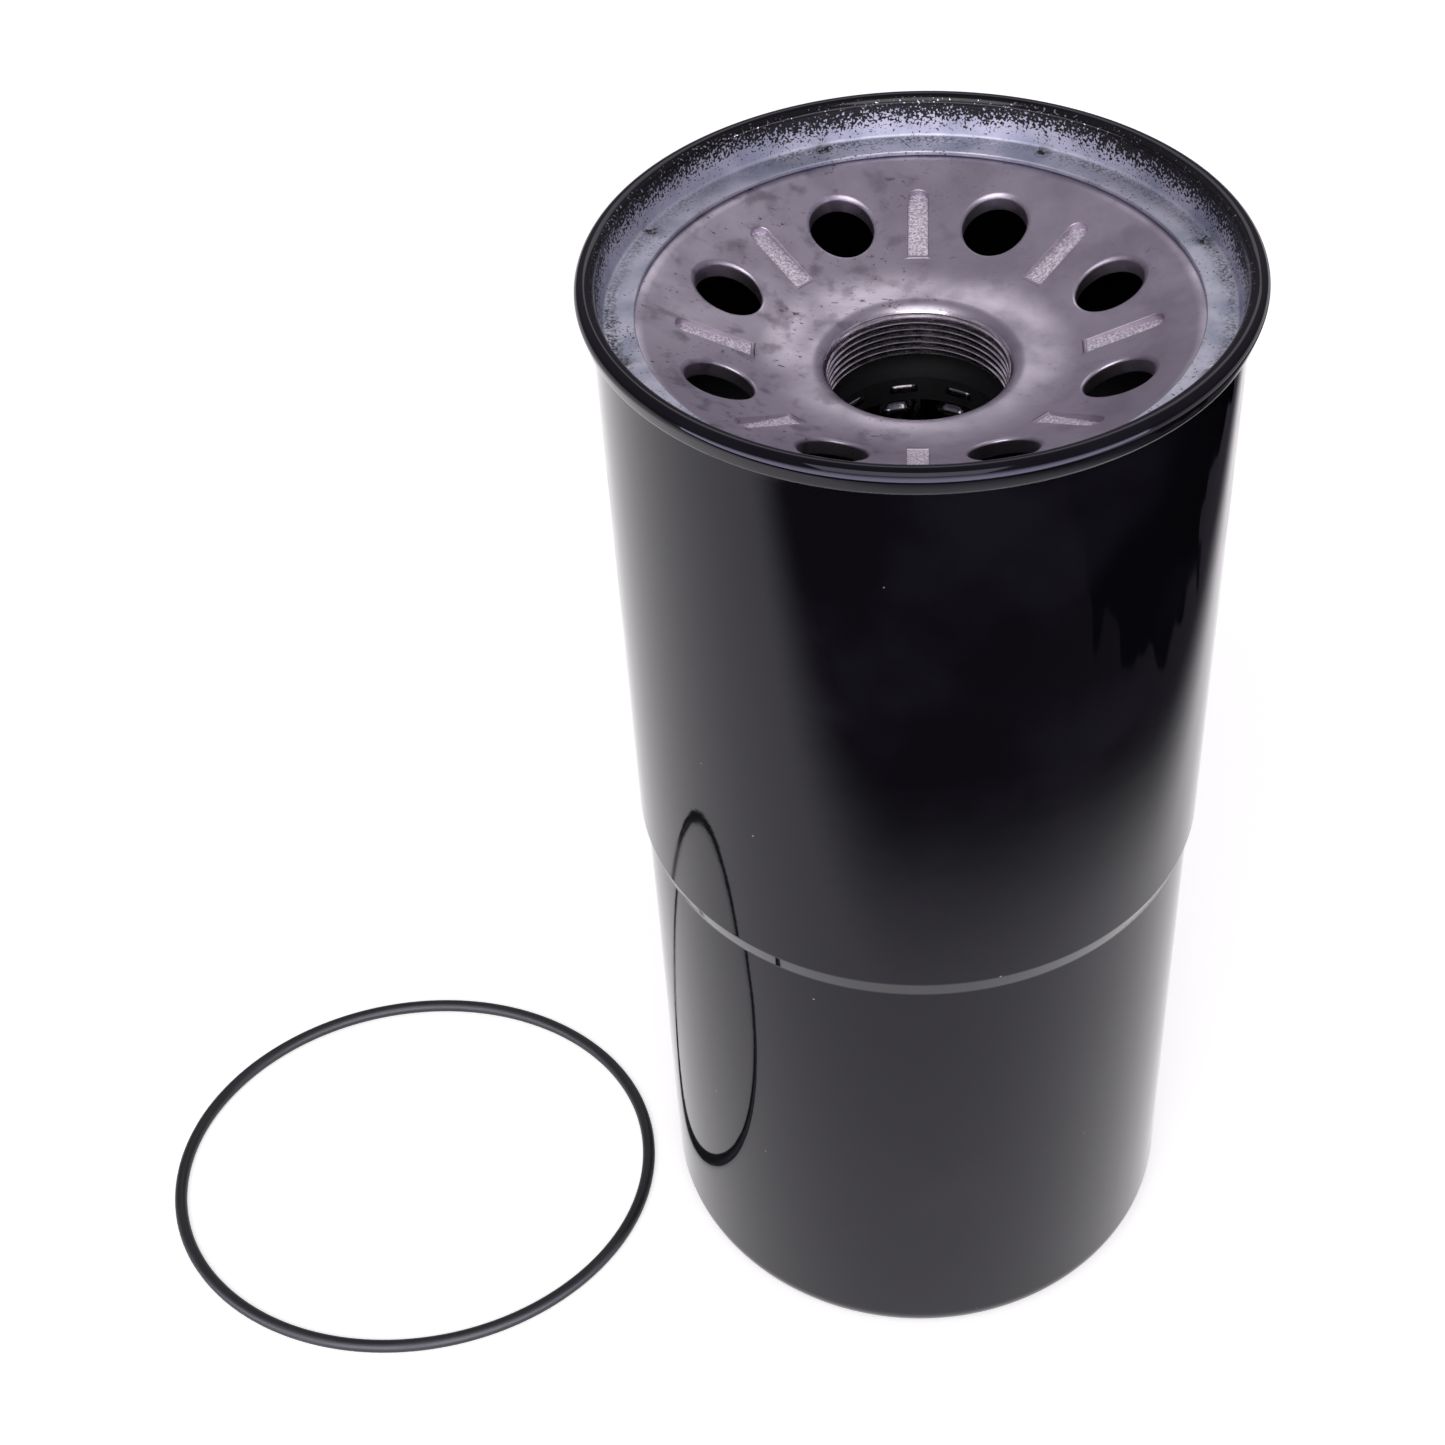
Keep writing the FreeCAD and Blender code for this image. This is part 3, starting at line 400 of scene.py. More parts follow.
@dataclass(frozen=True)
class CoinedSteel(Finish):
    """The floor of a pressed rib: steel squeezed rough, so it is pale and grainy."""

    name: str = "coined_steel"
    pale: str = "#fdf6fd"
    dark: str = "#c6bdc8"
    grain: float = 0.5  # the squeezed grain is nearer 0.2; drawn coarser
    grain_depth: float = 0.07

    def make(self) -> bpy.types.Material:
        """Build the material.

        Returns:
            The material.
        """
        material, tree, place = self.start()
        grains = blotches(tree, place, self.grain, 0.35, 0.65, 3.0)
        inputs = {
            "Base Color": add_node(tree, Step.TINT, grains, linear(self.dark), linear(self.pale)),
            "Metallic": 1.0,
            "Roughness": 0.6,
            "Normal": add_node(tree, Step.EMBOSS, grains, self.grain_depth * MM),
        }
        return self.done(material, inputs)


@dataclass(frozen=True)
class TappedSteel(Finish):
    """Freshly tapped thread: bright burnished crests with fine lines around them."""

    name: str = "tapped_steel"
    bright: str = "#ece6ec"
    dull: str = "#b0a8b1"
    line: float = 0.35  # the tool's lines are nearer 0.05; drawn coarser
    line_depth: float = 0.003

    def make(self) -> bpy.types.Material:
        """Build the material.

        Returns:
            The material.
        """
        material, tree, place = self.start()
        squeezed = add_node(tree, Step.STRETCH, place, (0.12, 0.12, 1.0))
        lines = blotches(tree, squeezed, self.line, 0.35, 0.7, 3.0)
        inputs = {
            "Base Color": add_node(tree, Step.TINT, lines, linear(self.bright), linear(self.dull)),
            "Metallic": 1.0,
            "Roughness": add_node(tree, Step.SPREAD, lines, 0.17, 0.3),
            "Normal": add_node(tree, Step.EMBOSS, lines, self.line_depth * MM),
        }
        return self.done(material, inputs)


@dataclass(frozen=True)
class OiledSteel(Finish):
    """Dark steel sheet wet with assembly oil: nearly black, mirror-like, faintly amber where oil pools."""

    name: str = "oiled_steel_sheet"
    steel: str = "#6f6d72"
    amber: str = "#4a3f24"
    pool: float = 8.0
    wave: float = 3.0
    wave_depth: float = 0.05

    def make(self) -> bpy.types.Material:
        """Build the material.

        Returns:
            The material.
        """
        material, tree, place = self.start()
        pools = blotches(tree, place, self.pool, 0.55, 0.75, 3.0)
        waves = add_node(tree, Step.NOISE, place, 1 / (self.wave * MM))
        inputs = {
            "Base Color": add_node(tree, Step.TINT, pools, linear(self.steel), linear(self.amber)),
            "Metallic": 1.0,
            "Roughness": 0.1,
            "Coat Weight": 1.0,
            "Coat Roughness": 0.03,
            "Normal": add_node(tree, Step.EMBOSS, waves, self.wave_depth * MM),
        }
        return self.done(material, inputs)


@dataclass(frozen=True)
class Rubber(Finish):
    """Moulded black rubber: matte, very finely pebbled, with dusty patches."""

    name: str = "moulded_rubber"
    colour: str = "#0a0a0b"
    dusty: str = "#131315"
    roughness: float = 0.46
    patch: float = 15.0
    pebble: float = 0.45  # the mould's texture is nearer 0.05; drawn coarser
    pebble_depth: float = 0.012

    def make(self) -> bpy.types.Material:
        """Build the material.

        Returns:
            The material.
        """
        material, tree, place = self.start()
        patch = blotches(tree, place, self.patch, 0.4, 0.7, 3.0)
        pebbles = add_node(tree, Step.NOISE, place, 1 / (self.pebble * MM), 2.0)
        inputs = {
            "Base Color": add_node(tree, Step.TINT, patch, linear(self.colour), linear(self.dusty)),
            "Roughness": add_node(tree, Step.SPREAD, patch, self.roughness, self.roughness + 0.12),
            "IOR": 1.52,
            "Normal": add_node(tree, Step.EMBOSS, pebbles, self.pebble_depth * MM),
        }
        return self.done(material, inputs)


@dataclass(frozen=True)
class SheetMetal(Finish):
    """Plain sheet or wire inside the filter: satin metal with rolling stains and drawing lines."""

    name: str = "sheet_steel"
    metal: str = "#8f9094"
    stained: str = "#6f6c70"
    roughness: float = 0.34
    spot: float = 10.0
    line: float = 0.8  # drawing lines are nearer 0.1; drawn coarser
    line_depth: float = 0.01

    def make(self) -> bpy.types.Material:
        """Build the material.

        Returns:
            The material.
        """
        material, tree, place = self.start()
        stain = blotches(tree, place, self.spot, 0.38, 0.7, 4.0)
        lines = add_node(tree, Step.NOISE, place, 1 / (self.line * MM), 3.0)
        inputs = {
            "Base Color": add_node(tree, Step.TINT, stain, linear(self.metal), linear(self.stained)),
            "Metallic": 1.0,
            "Roughness": add_node(tree, Step.SPREAD, stain, self.roughness, self.roughness + 0.14),
            "Normal": add_node(tree, Step.EMBOSS, lines, self.line_depth * MM),
        }
        return self.done(material, inputs)


@dataclass(frozen=True)
class PouredCompound(Finish):
    """Cured sealing or bonding compound: a dull, slightly lumpy plastic."""

    name: str = "cured_plastisol"
    colour: str = "#6a2f25"
    shade: str = "#4f231c"
    lump: float = 6.0
    lump_depth: float = 0.12

    def make(self) -> bpy.types.Material:
        """Build the material.

        Returns:
            The material.
        """
        material, tree, place = self.start()
        lumps = blotches(tree, place, self.lump, 0.3, 0.7, 4.0)
        inputs = {
            "Base Color": add_node(tree, Step.TINT, lumps, linear(self.colour), linear(self.shade)),
            "Roughness": 0.42,
            "IOR": 1.5,
            "Normal": add_node(tree, Step.EMBOSS, lumps, self.lump_depth * MM),
        }
        return self.done(material, inputs)


@dataclass(frozen=True)
class FilterPaper(Finish):
    """Resin-dipped cellulose paper: warm yellow, fibrous and matte."""

    name: str = "filter_paper"
    colour: str = "#c9a763"
    fibre: str = "#a9864a"
    fibre_size: float = 0.6  # fibres are nearer 0.03; drawn coarser
    fibre_depth: float = 0.05

    def make(self) -> bpy.types.Material:
        """Build the material.

        Returns:
            The material.
        """
        material, tree, place = self.start()
        long = add_node(tree, Step.STRETCH, place, (1.0, 1.0, 0.2))
        fibres = blotches(tree, long, self.fibre_size, 0.4, 0.68, 5.0)
        inputs = {
            "Base Color": add_node(tree, Step.TINT, fibres, linear(self.colour), linear(self.fibre)),
            "Roughness": 0.85,
            "IOR": 1.45,
            "Normal": add_node(tree, Step.EMBOSS, fibres, self.fibre_depth * MM),
        }
        return self.done(material, inputs)


@dataclass(frozen=True)
class StudioPaper(Finish):
    """Matte white background paper, lit evenly enough to be almost pure white."""

    name: str = "studio_paper"
    colour: str = "#f4f3f2"
    glow: float = 0.62
    tone_size: float = 400.0

    def make(self) -> bpy.types.Material:
        """Build the material.

        Returns:
            The material.
        """
        material, tree, place = self.start()
        tone = add_node(tree, Step.SPREAD, blotches(tree, place, self.tone_size, 0.3, 0.7), 0.98, 1.0)
        white = add_node(tree, Step.SHADE, 1.0, linear(self.colour), tone)
        inputs = {
            "Base Color": white,
            "Emission Color": white,
            "Emission Strength": self.glow,
            "Roughness": 1.0,
            "Specular IOR Level": 0.0,
        }
        return self.done(material, inputs)


@dataclass(frozen=True)
class PaintedFloorShadow(Finish):
    """A painted shadow on the white paper, in a band in front of the filter and round to its right, black
    past a wavy edge on the right; only the gloss mirrors it.

    Its sizes are in metres.
    """

    name: str = "painted_floor_shadow"
    colour: str = "#47444c"
    shade: str = "#000000"
    edge: float = 0.168
    soft: float = 0.068
    end: float = 0.425
    black_side: float = 0.258
    black_side_edge: float = 0.004
    wobble_size: float = 0.05

    def make(self) -> bpy.types.Material:
        """Build the material.

        Returns:
            The material.
        """
        material, tree, place = self.start()
        split = add_node(tree, Step.SPLIT, place).node.outputs
        right = add_node(tree, Step.MAXIMUM, split["X"], 0.0)
        front = add_node(tree, Step.MINIMUM, split["Y"], 0.0)
        away = add_node(tree, Step.LENGTH, add_node(tree, Step.FLATTEN, right, front))
        near = add_node(tree, Step.BAND, away, self.edge, self.edge + self.soft)
        ending = add_node(tree, Step.BAND, away, self.end + self.soft, self.end)
        cover = add_node(tree, Step.MULTIPLY, near, ending)
        wobble = add_node(tree, Step.NOISE, place, 1 / self.wobble_size, 1.0)
        wobble = add_node(tree, Step.SPREAD, wobble, -self.wobble_size, self.wobble_size)
        reach = add_node(tree, Step.ADD, split["X"], wobble)
        black_part = add_node(tree, Step.BAND, reach, self.black_side, self.black_side + self.black_side_edge)
        black_part = add_node(tree, Step.MULTIPLY, black_part, cover)
        # Painted shadow: grey over the band, black past the wavy edge on the right.
        inputs = {
            "Emission Color": add_node(tree, Step.TINT, black_part, linear(self.colour), linear(self.shade)),
            "Emission Strength": 1.0,
            "Base Color": linear(self.shade),
            "Roughness": 1.0,
            "Specular IOR Level": 0.0,
            "Alpha": cover,
        }
        return self.done(material, inputs)


@dataclass(frozen=True)
class LitCard(Finish):
    """White card lit from behind, brightest low down and dimmer towards its top. Heights are in metres."""

    name: str = "lit_card"
    colour: str = "#e6e2f6"
    dim: str = "#77747f"
    dim_at: float = 0.42
    full_at: float = 0.2
    power: float = 8.0

    def make(self) -> bpy.types.Material:
        """Build the material.

        Returns:
            The material.
        """
        material, tree, place = self.start()
        low = add_node(tree, Step.BAND, add_node(tree, Step.SPLIT, place), self.dim_at, self.full_at)
        inputs = {
            "Emission Color": add_node(tree, Step.TINT, low, linear(self.dim), linear(self.colour)),
            "Emission Strength": self.power,
            "Base Color": linear(self.colour),
            "Roughness": 1.0,
        }
        return self.done(material, inputs)


class Outline:
    """A half section being drawn, as (radius, height) points in millimetres."""

    def __init__(self, radius: float, height: float) -> None:
        """Start at one point."""
        self.points: list[tuple[float, float]] = [(radius, height)]

    def line(self, *corners: tuple[float, float]) -> "Outline":
        """Go on in straight runs.

        Args:
            corners: The ends of the runs.

        Returns:
            The outline itself.
        """
        self.points.extend(corners)
        return self

    def arc(
        self, centre: tuple[float, float], radius: float, start: float, end: float, steps: int
    ) -> "Outline":
        """Go on along an arc, whose first point is left out where the outline is already there.

        Args:
            centre: The arc's centre.
            radius: The arc's radius.
            start: The first angle in degrees, from outwards towards up.
            end: The last angle in degrees.
            steps: How many short runs the arc has.

        Returns:
            The outline itself.
        """
        for step in range(steps + 1):
            angle = math.radians(start + (end - start) * step / steps)
            point = (centre[0] + radius * math.cos(angle), centre[1] + radius * math.sin(angle))
            if math.dist(point, self.points[-1]) > SAME_PLACE:
                self.points.append(point)
        return self


class Workpiece:
    """A mesh being modelled by hand, in millimetres until it is settled."""

    def __init__(self, name: str) -> None:
        """Take the active object as the piece."""
        self.object = bpy.context.object
        self.object.name = name
        self.object.data.name = name

    @classmethod
    def drawn(cls, name: str, points: list[tuple[float, float, float]], closed: bool) -> "Workpiece":
        """Draw a chain of edges by extruding one vertex from point to point.

        Args:
            name: The piece's name.
            points: The chain's points.
            closed: Whether the chain ends where it starts.

        Returns:
            The piece.
        """
        bpy.ops.object.select_all(action="DESELECT")
        bpy.ops.mesh.primitive_plane_add(size=1.0)
        piece = cls(name)
        piece.edit_all()
        bpy.ops.mesh.merge(type="CENTER")
        bpy.ops.transform.translate(value=points[0])
        chain = [*points, points[0]] if closed else points
        for before, after in zip(chain, chain[1:]):
            step = tuple(b - a for a, b in zip(before, after))
            bpy.ops.mesh.extrude_vertices_move(TRANSFORM_OT_translate={"value": step})
        bpy.ops.mesh.select_all(action="SELECT")
        bpy.ops.mesh.remove_doubles(threshold=SAME_PLACE)
        bpy.ops.object.mode_set(mode="OBJECT")
        return piece

    @classmethod
    def turned(cls, name: str, outline: Outline, steps: int, closed: bool = True) -> "Workpiece":
        """Spin a half section about the filter's axis.

        Args:
            name: The piece's name.
            outline: The half section.
            steps: How many facets the piece has around it.
            closed: Whether the section closes on itself.

        Returns:
            The piece.
        """
        piece = cls.drawn(name, [(r, 0.0, z) for r, z in outline.points], closed)
        piece.edit_all()
        bpy.ops.mesh.spin(steps=steps, angle=FULL_TURN, center=(0, 0, 0), axis=(0, 0, 1))
        piece.weld()
        return piece

    @classmethod
    def prism(cls, name: str, points: list[tuple[float, float, float]], rise: Vector) -> "Workpiece":
        """Fill a closed outline and extrude it into a solid.

        Args:
            name: The piece's name.
            points: The outline of one end.
            rise: The way from that end to the other.

        Returns:
            The piece.
        """
        piece = cls.drawn(name, points, True)
        piece.edit_all()
        bpy.ops.mesh.edge_face_add()
        bpy.ops.mesh.extrude_region_move(TRANSFORM_OT_translate={"value": tuple(rise)})
        piece.weld()
        return piece

    def activate(self) -> None:
        """Make this the only selected object, and the active one."""
        bpy.ops.object.select_all(action="DESELECT")
        self.object.select_set(True)
        bpy.context.view_layer.objects.active = self.object

    def edit_all(self) -> None:
        """Enter edit mode with everything selected."""
        self.activate()
        bpy.ops.object.mode_set(mode="EDIT")
        bpy.ops.mesh.select_mode(type="VERT")
        bpy.ops.mesh.select_all(action="SELECT")

    def weld(self) -> None:
        """Merge vertices that are in one place, and turn every face outwards; leaves edit mode."""
        bpy.ops.mesh.select_all(action="SELECT")
        bpy.ops.mesh.remove_doubles(threshold=SAME_PLACE)
        bpy.ops.mesh.normals_make_consistent(inside=False)
        bpy.ops.object.mode_set(mode="OBJECT")

    def pick(self, mode: str, test: Callable) -> int:
        """Enter edit mode with only some faces, edges or vertices selected.

        Args:
            mode: FACE, EDGE or VERT.
            test: Says of one of them whether it is picked.

        Returns:
            How many were picked.
        """
        self.activate()
        bpy.ops.object.mode_set(mode="EDIT")
        bpy.ops.mesh.select_mode(type=mode)
        bpy.ops.mesh.select_all(action="DESELECT")
        mesh = bmesh.from_edit_mesh(self.object.data)
        items = {"FACE": mesh.faces, "EDGE": mesh.edges, "VERT": mesh.verts}[mode]
        found = [item for item in items if test(item)]
        for item in found:
            item.select_set(True)
        bmesh.update_edit_mesh(self.object.data)
        return len(found)

    def round_edges(self, test: Callable, width: float, segments: int) -> None:
        """Round some edges.

        Args:
            test: Says of an edge whether it is rounded.
            width: The rounding's width.
            segments: How many facets it has across.
        """
        if self.pick("EDGE", test):
            bpy.ops.mesh.bevel(offset=width, segments=segments, affect="EDGES", clamp_overlap=False)
        bpy.ops.object.mode_set(mode="OBJECT")

    def drop_faces(self, test: Callable) -> None:
        """Delete the faces that a test picks.

        Args:
            test: Says of a face whether it goes.
        """
        if self.pick("FACE", test):
            bpy.ops.mesh.delete(type="FACE")
        bpy.ops.object.mode_set(mode="OBJECT")

    def slice(self, point: tuple, normal: tuple, keep: Cut = Cut.NOTHING) -> None:
        """Cut through the mesh with a plane; it has to be in edit mode with everything selected.

        Args:
            point: A point on the plane.
            normal: The plane's normal.
            keep: Which side is kept and closed, or NOTHING to keep both and only cut the faces.
        """
        bpy.ops.mesh.select_all(action="SELECT")
        bpy.ops.mesh.bisect(
            plane_co=point,
            plane_no=normal,
            use_fill=keep is not Cut.NOTHING,
            clear_inner=keep is Cut.ABOVE,
            clear_outer=keep is Cut.BELOW,
            threshold=SAME_PLACE / 4,
        )

    def subtract(self, tool: "Workpiece") -> None:
        """Cut another piece out of this one, and throw that piece away.

        Args:
            tool: The piece that is cut out.
        """
        self.activate()
        cut = self.object.modifiers.new("cut", "BOOLEAN")
        cut.operation = "DIFFERENCE"
        cut.solver = "EXACT"
        cut.object = tool.object
        bpy.ops.object.modifier_apply(modifier=cut.name)
        bpy.data.objects.remove(tool.object)

    def repeat_around(self, count: int) -> None:
        """Copy the piece evenly around the filter's axis, and join the copies.

        Args:
            count: How many there are in the end.
        """
        copies = []
        for index in range(1, count):
            self.activate()
            bpy.ops.object.duplicate()
            copies.append(bpy.context.object)
            bpy.ops.object.mode_set(mode="EDIT")
            bpy.ops.mesh.select_all(action="SELECT")
            bpy.ops.transform.rotate(
                value=FULL_TURN * index / count,
                orient_axis="Z",
                orient_type="GLOBAL",
                center_override=(0, 0, 0),
            )
            bpy.ops.object.mode_set(mode="OBJECT")
        self.activate()
        for copy in copies:
            copy.select_set(True)
        bpy.ops.object.join()

    def join(self, *others: "Workpiece") -> None:
        """Join other pieces to this one and weld the seams.

        Args:
            others: The other pieces.
        """
        self.activate()
        for other in others:
            other.object.select_set(True)
        bpy.ops.object.join()
        self.edit_all()
        self.weld()

    def reshape(self, rule: Callable[[np.ndarray], np.ndarray]) -> None:
        """Move every vertex by a rule.

        Args:
            rule: Gives the new points for an array of points.
        """
        mesh = self.object.data
        points = np.empty(len(mesh.vertices) * 3, np.float32)
        mesh.vertices.foreach_get("co", points)
        moved = rule(points.reshape(-1, 3).astype(float))
        mesh.vertices.foreach_set("co", moved.astype(np.float32).ravel())
        mesh.update()

    def dress(self, finish: bpy.types.Material, test: Callable | None = None) -> None:
        """Give the piece a finish.

        Args:
            finish: The material.
            test: Says of a face whether it gets the finish; without a test every face does.
        """
        mesh = self.object.data
        mesh.materials.append(finish)
        index = len(mesh.materials) - 1
        for face in mesh.polygons:
            if test is None or test(face):
                face.material_index = index

    def settle(
        self, body: str, slot: str, replaced: tuple[str, ...], smooth: float = 30.0, weighted: bool = False
    ) -> bpy.types.Object:
        """Bring the piece to metres, smooth its shading and put it on its body.

        Args:
            body: The CAD body that it rides on.
            slot: The record's material slot; not used.
            replaced: The CAD nodes that it stands for.
            smooth: Edges sharper than this many degrees stay sharp.
            weighted: Whether large faces rule the shading at their edges.

        Returns:
            The finished object.
        """
        self.activate()
        self.object.scale = (MM, MM, MM)
        bpy.ops.object.transform_apply(location=True, rotation=True, scale=True)
        bpy.ops.object.shade_smooth_by_angle(angle=math.radians(smooth))
        if weighted:
            even = self.object.modifiers.new("even", "WEIGHTED_NORMAL")
            even.keep_sharp = True
            bpy.ops.object.modifier_apply(modifier=even.name)
        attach(self.object, body)
        if replaced:
            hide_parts(*replaced)
        LOG.info("%s: %d faces on %s", self.object.name, len(self.object.data.polygons), body)
        return self.object


@dataclass
class Can:
    """The drawn can: flat beaded bottom, stepped wall, top edge folded into the seam."""

    radius: float = 65.1
    wall: float = 0.9
    step_in: float = 1.4
    step_base: float = 132.6
    step_rise: float = 5.4
    step_bend: float = 2.5
    step_slope: float = 16.7
    foot: float = 9.0
    bead: float = 40.0
    bead_half: float = 4.0
    bead_rise: float = 1.5
    fold_radius: float = 66.0
    fold_height: float = 277.2
    lean: float = 8.0
    hook_end: float = 275.0
    facets: int = 256

    def build(self, enamel: bpy.types.Material) -> None:
        """Model and dress the can.

        Args:
            enamel: The can's enamel.
        """
        piece = Workpiece.turned("can_shell", self.section(), self.facets)
        piece.dress(enamel)
        piece.settle("housing", "black_enamel", ("outer_can",), 25.0)

    def section(self) -> Outline:
        """The can's half section, outside first.

        Returns:
            The outline.
        """
        low = self.radius - self.step_in
        bend, sweep = self.step_bend, self.step_slope
        lean = math.radians(self.lean)
        outline = Outline(0.0, 0.0)
        self.bead_run(outline, 0.0, outward=True)
        outline.line((low - self.foot, 0.0)).arc((low - self.foot, self.foot), self.foot, -90, 0, 16)
        outline.line((low, self.step_base))
        outline.arc((low + bend, self.step_base), bend, 180, 180 - sweep, 8)
        outline.arc((self.radius - bend, self.step_base + self.step_rise), bend, -sweep, 0, 8)
        run = (self.fold_radius - self.radius) / math.tan(lean)
        outline.line((self.radius, self.fold_height - run), (self.fold_radius, self.fold_height))
        outline.line((self.fold_radius, self.hook_end), (self.fold_radius + self.wall, self.hook_end))
        outline.arc((self.fold_radius, self.fold_height), self.wall, 0, 172, 10)
        inner = self.radius - self.wall
        fold_in = self.fold_radius - self.wall * math.cos(lean)
        fold_up = self.fold_height + self.wall * math.sin(lean)
        outline.line((inner, fold_up - (fold_in - inner) / math.tan(lean)))
        outline.line((inner, self.step_base + self.step_rise), (low - self.wall, self.step_base))
        outline.line((low - self.wall, self.foot))
        outline.arc((low - self.foot, self.foot), self.foot - self.wall, 0, -90, 8)
        self.bead_run(outline, self.wall, outward=False)
        return outline.line((0.0, self.wall))

    def bead_run(self, outline: Outline, lift: float, outward: bool) -> None:
        """Draw across the pressed bead with eased corners.

        Args:
            outline: The outline that goes on.
            lift: The height of the face that the bead is in.
            outward: Whether the outline runs outwards here.
        """
        count = 12
        run = []
        for step in range(count + 1):
            across = -1 + 2 * step / count
            rise = self.bead_rise * math.cos(across * math.pi / 2) ** 0.8 if abs(across) < 1 else 0.0
            run.append((self.bead + self.bead_half * across, lift + rise))
        outline.line(*(run if outward else run[::-1]))


@dataclass
class SeamingRing:
    """The pressed ring: O-ring seat, leaning wall, and the roll over the can's edge."""

    roll: tuple[float, float] = (66.0, 277.2)
    roll_out: float = 2.0
    sheet: float = 1.0
    lean: float = 8.0
    crease: float = 63.01
    crease_round: float = 0.8
    seat: float = 270.3
    seat_inner: float = 56.51
    skirt: float = 274.9
    skirt_lean: float = 14.0
    tuck: float = 1.9
    stake_circle: float = 61.11
    stake_radius: float = 1.7
    stake_depth: float = 0.35
    stake_turn: float = 19.5
    stake_count: int = 8
    facets: int = 256

    def build(self, zinc: bpy.types.Material, enamel: bpy.types.Material) -> None:
        """Model the ring, stake it, and dress it: enamel outside the seam, plating inside.

        Args:
            zinc: The plating.
            enamel: The can's enamel.
        """
        piece = Workpiece.turned("seam_ring", self.section(), self.facets)
        piece.subtract(self.punches())
        piece.dress(zinc)
        piece.dress(enamel, self.outside)
        piece.settle("housing", "zinc_plate", ("seaming_ring",), 28.0)

    def outside(self, face: bpy.types.MeshPolygon) -> bool:
        """Whether a face is on the outside of the roll or under it."""
        reach = math.hypot(face.center.x, face.center.y)
        return reach > self.roll[0] + 0.2 or face.center.z > self.roll[1] + 1.75

    def section(self) -> Outline:
        """The ring's half section.

        Returns:
            The outline.
        """
        lean = math.radians(self.lean)
        bend_in = self.crease - self.crease_round * math.tan(math.radians(45 - self.lean / 2))
        centre = (bend_in, self.seat + self.crease_round)
        edge = 0.18
        outline = Outline(self.seat_inner, self.seat - self.sheet + edge)
        outline.line((self.seat_inner, self.seat - edge), (self.seat_inner + edge, self.seat))
        outline.line((bend_in, self.seat)).arc(centre, self.crease_round, -90, -self.lean, 6)
        outline.line(self.on_roll(self.roll_out, 180 - self.lean))
        outline.arc(self.roll, self.roll_out, 180 - self.lean, -self.skirt_lean, 26)
        drop = math.radians(self.skirt_lean)
        start = self.on_roll(self.roll_out, -self.skirt_lean)
        fall = start[1] - (self.skirt - self.tuck * math.sin(drop))
        tuck_in = start[0] - fall * math.tan(drop) - self.tuck * math.cos(drop)
        outline.arc((tuck_in, self.skirt), self.tuck, -self.skirt_lean, -90, 12)
        outline.line((tuck_in, self.skirt - self.tuck + self.sheet))
        outline.arc((tuck_in, self.skirt), self.tuck - self.sheet, -90, 0, 6)
        hidden = self.roll_out - self.sheet
        outline.arc(self.roll, hidden, 0, 180 - self.lean, 10)
        outline.arc(centre, self.crease_round + self.sheet, -self.lean, -90, 6)
        return outline.line((self.seat_inner + edge, self.seat - self.sheet))

    def on_roll(self, radius: float, angle: float) -> tuple[float, float]:
        """A point of the roll."""
        turn = math.radians(angle)
        return (self.roll[0] + radius * math.cos(turn), self.roll[1] + radius * math.sin(turn))

    def punches(self) -> Workpiece:
        """The round-nosed punches that stake the ring, all in one piece.

        Returns:
            The punches.
        """
        ball = (self.stake_radius**2 + self.stake_depth**2) / (2 * self.stake_depth)
        sweep = math.degrees(math.asin(self.stake_radius / ball)) * 1.25
        outline = Outline(0.0, -self.stake_depth)
        outline.arc((0.0, ball - self.stake_depth), ball, -90, -90 + sweep, 8)
        outline.line((0.0, 1.0))
        punch = Workpiece.turned("punch", outline, 32)
        turn = math.radians(self.stake_turn)
        place = np.array([self.stake_circle * math.cos(turn), self.stake_circle * math.sin(turn), self.seat])
        punch.reshape(lambda points: points + place)
        punch.repeat_around(self.stake_count)
        return punch


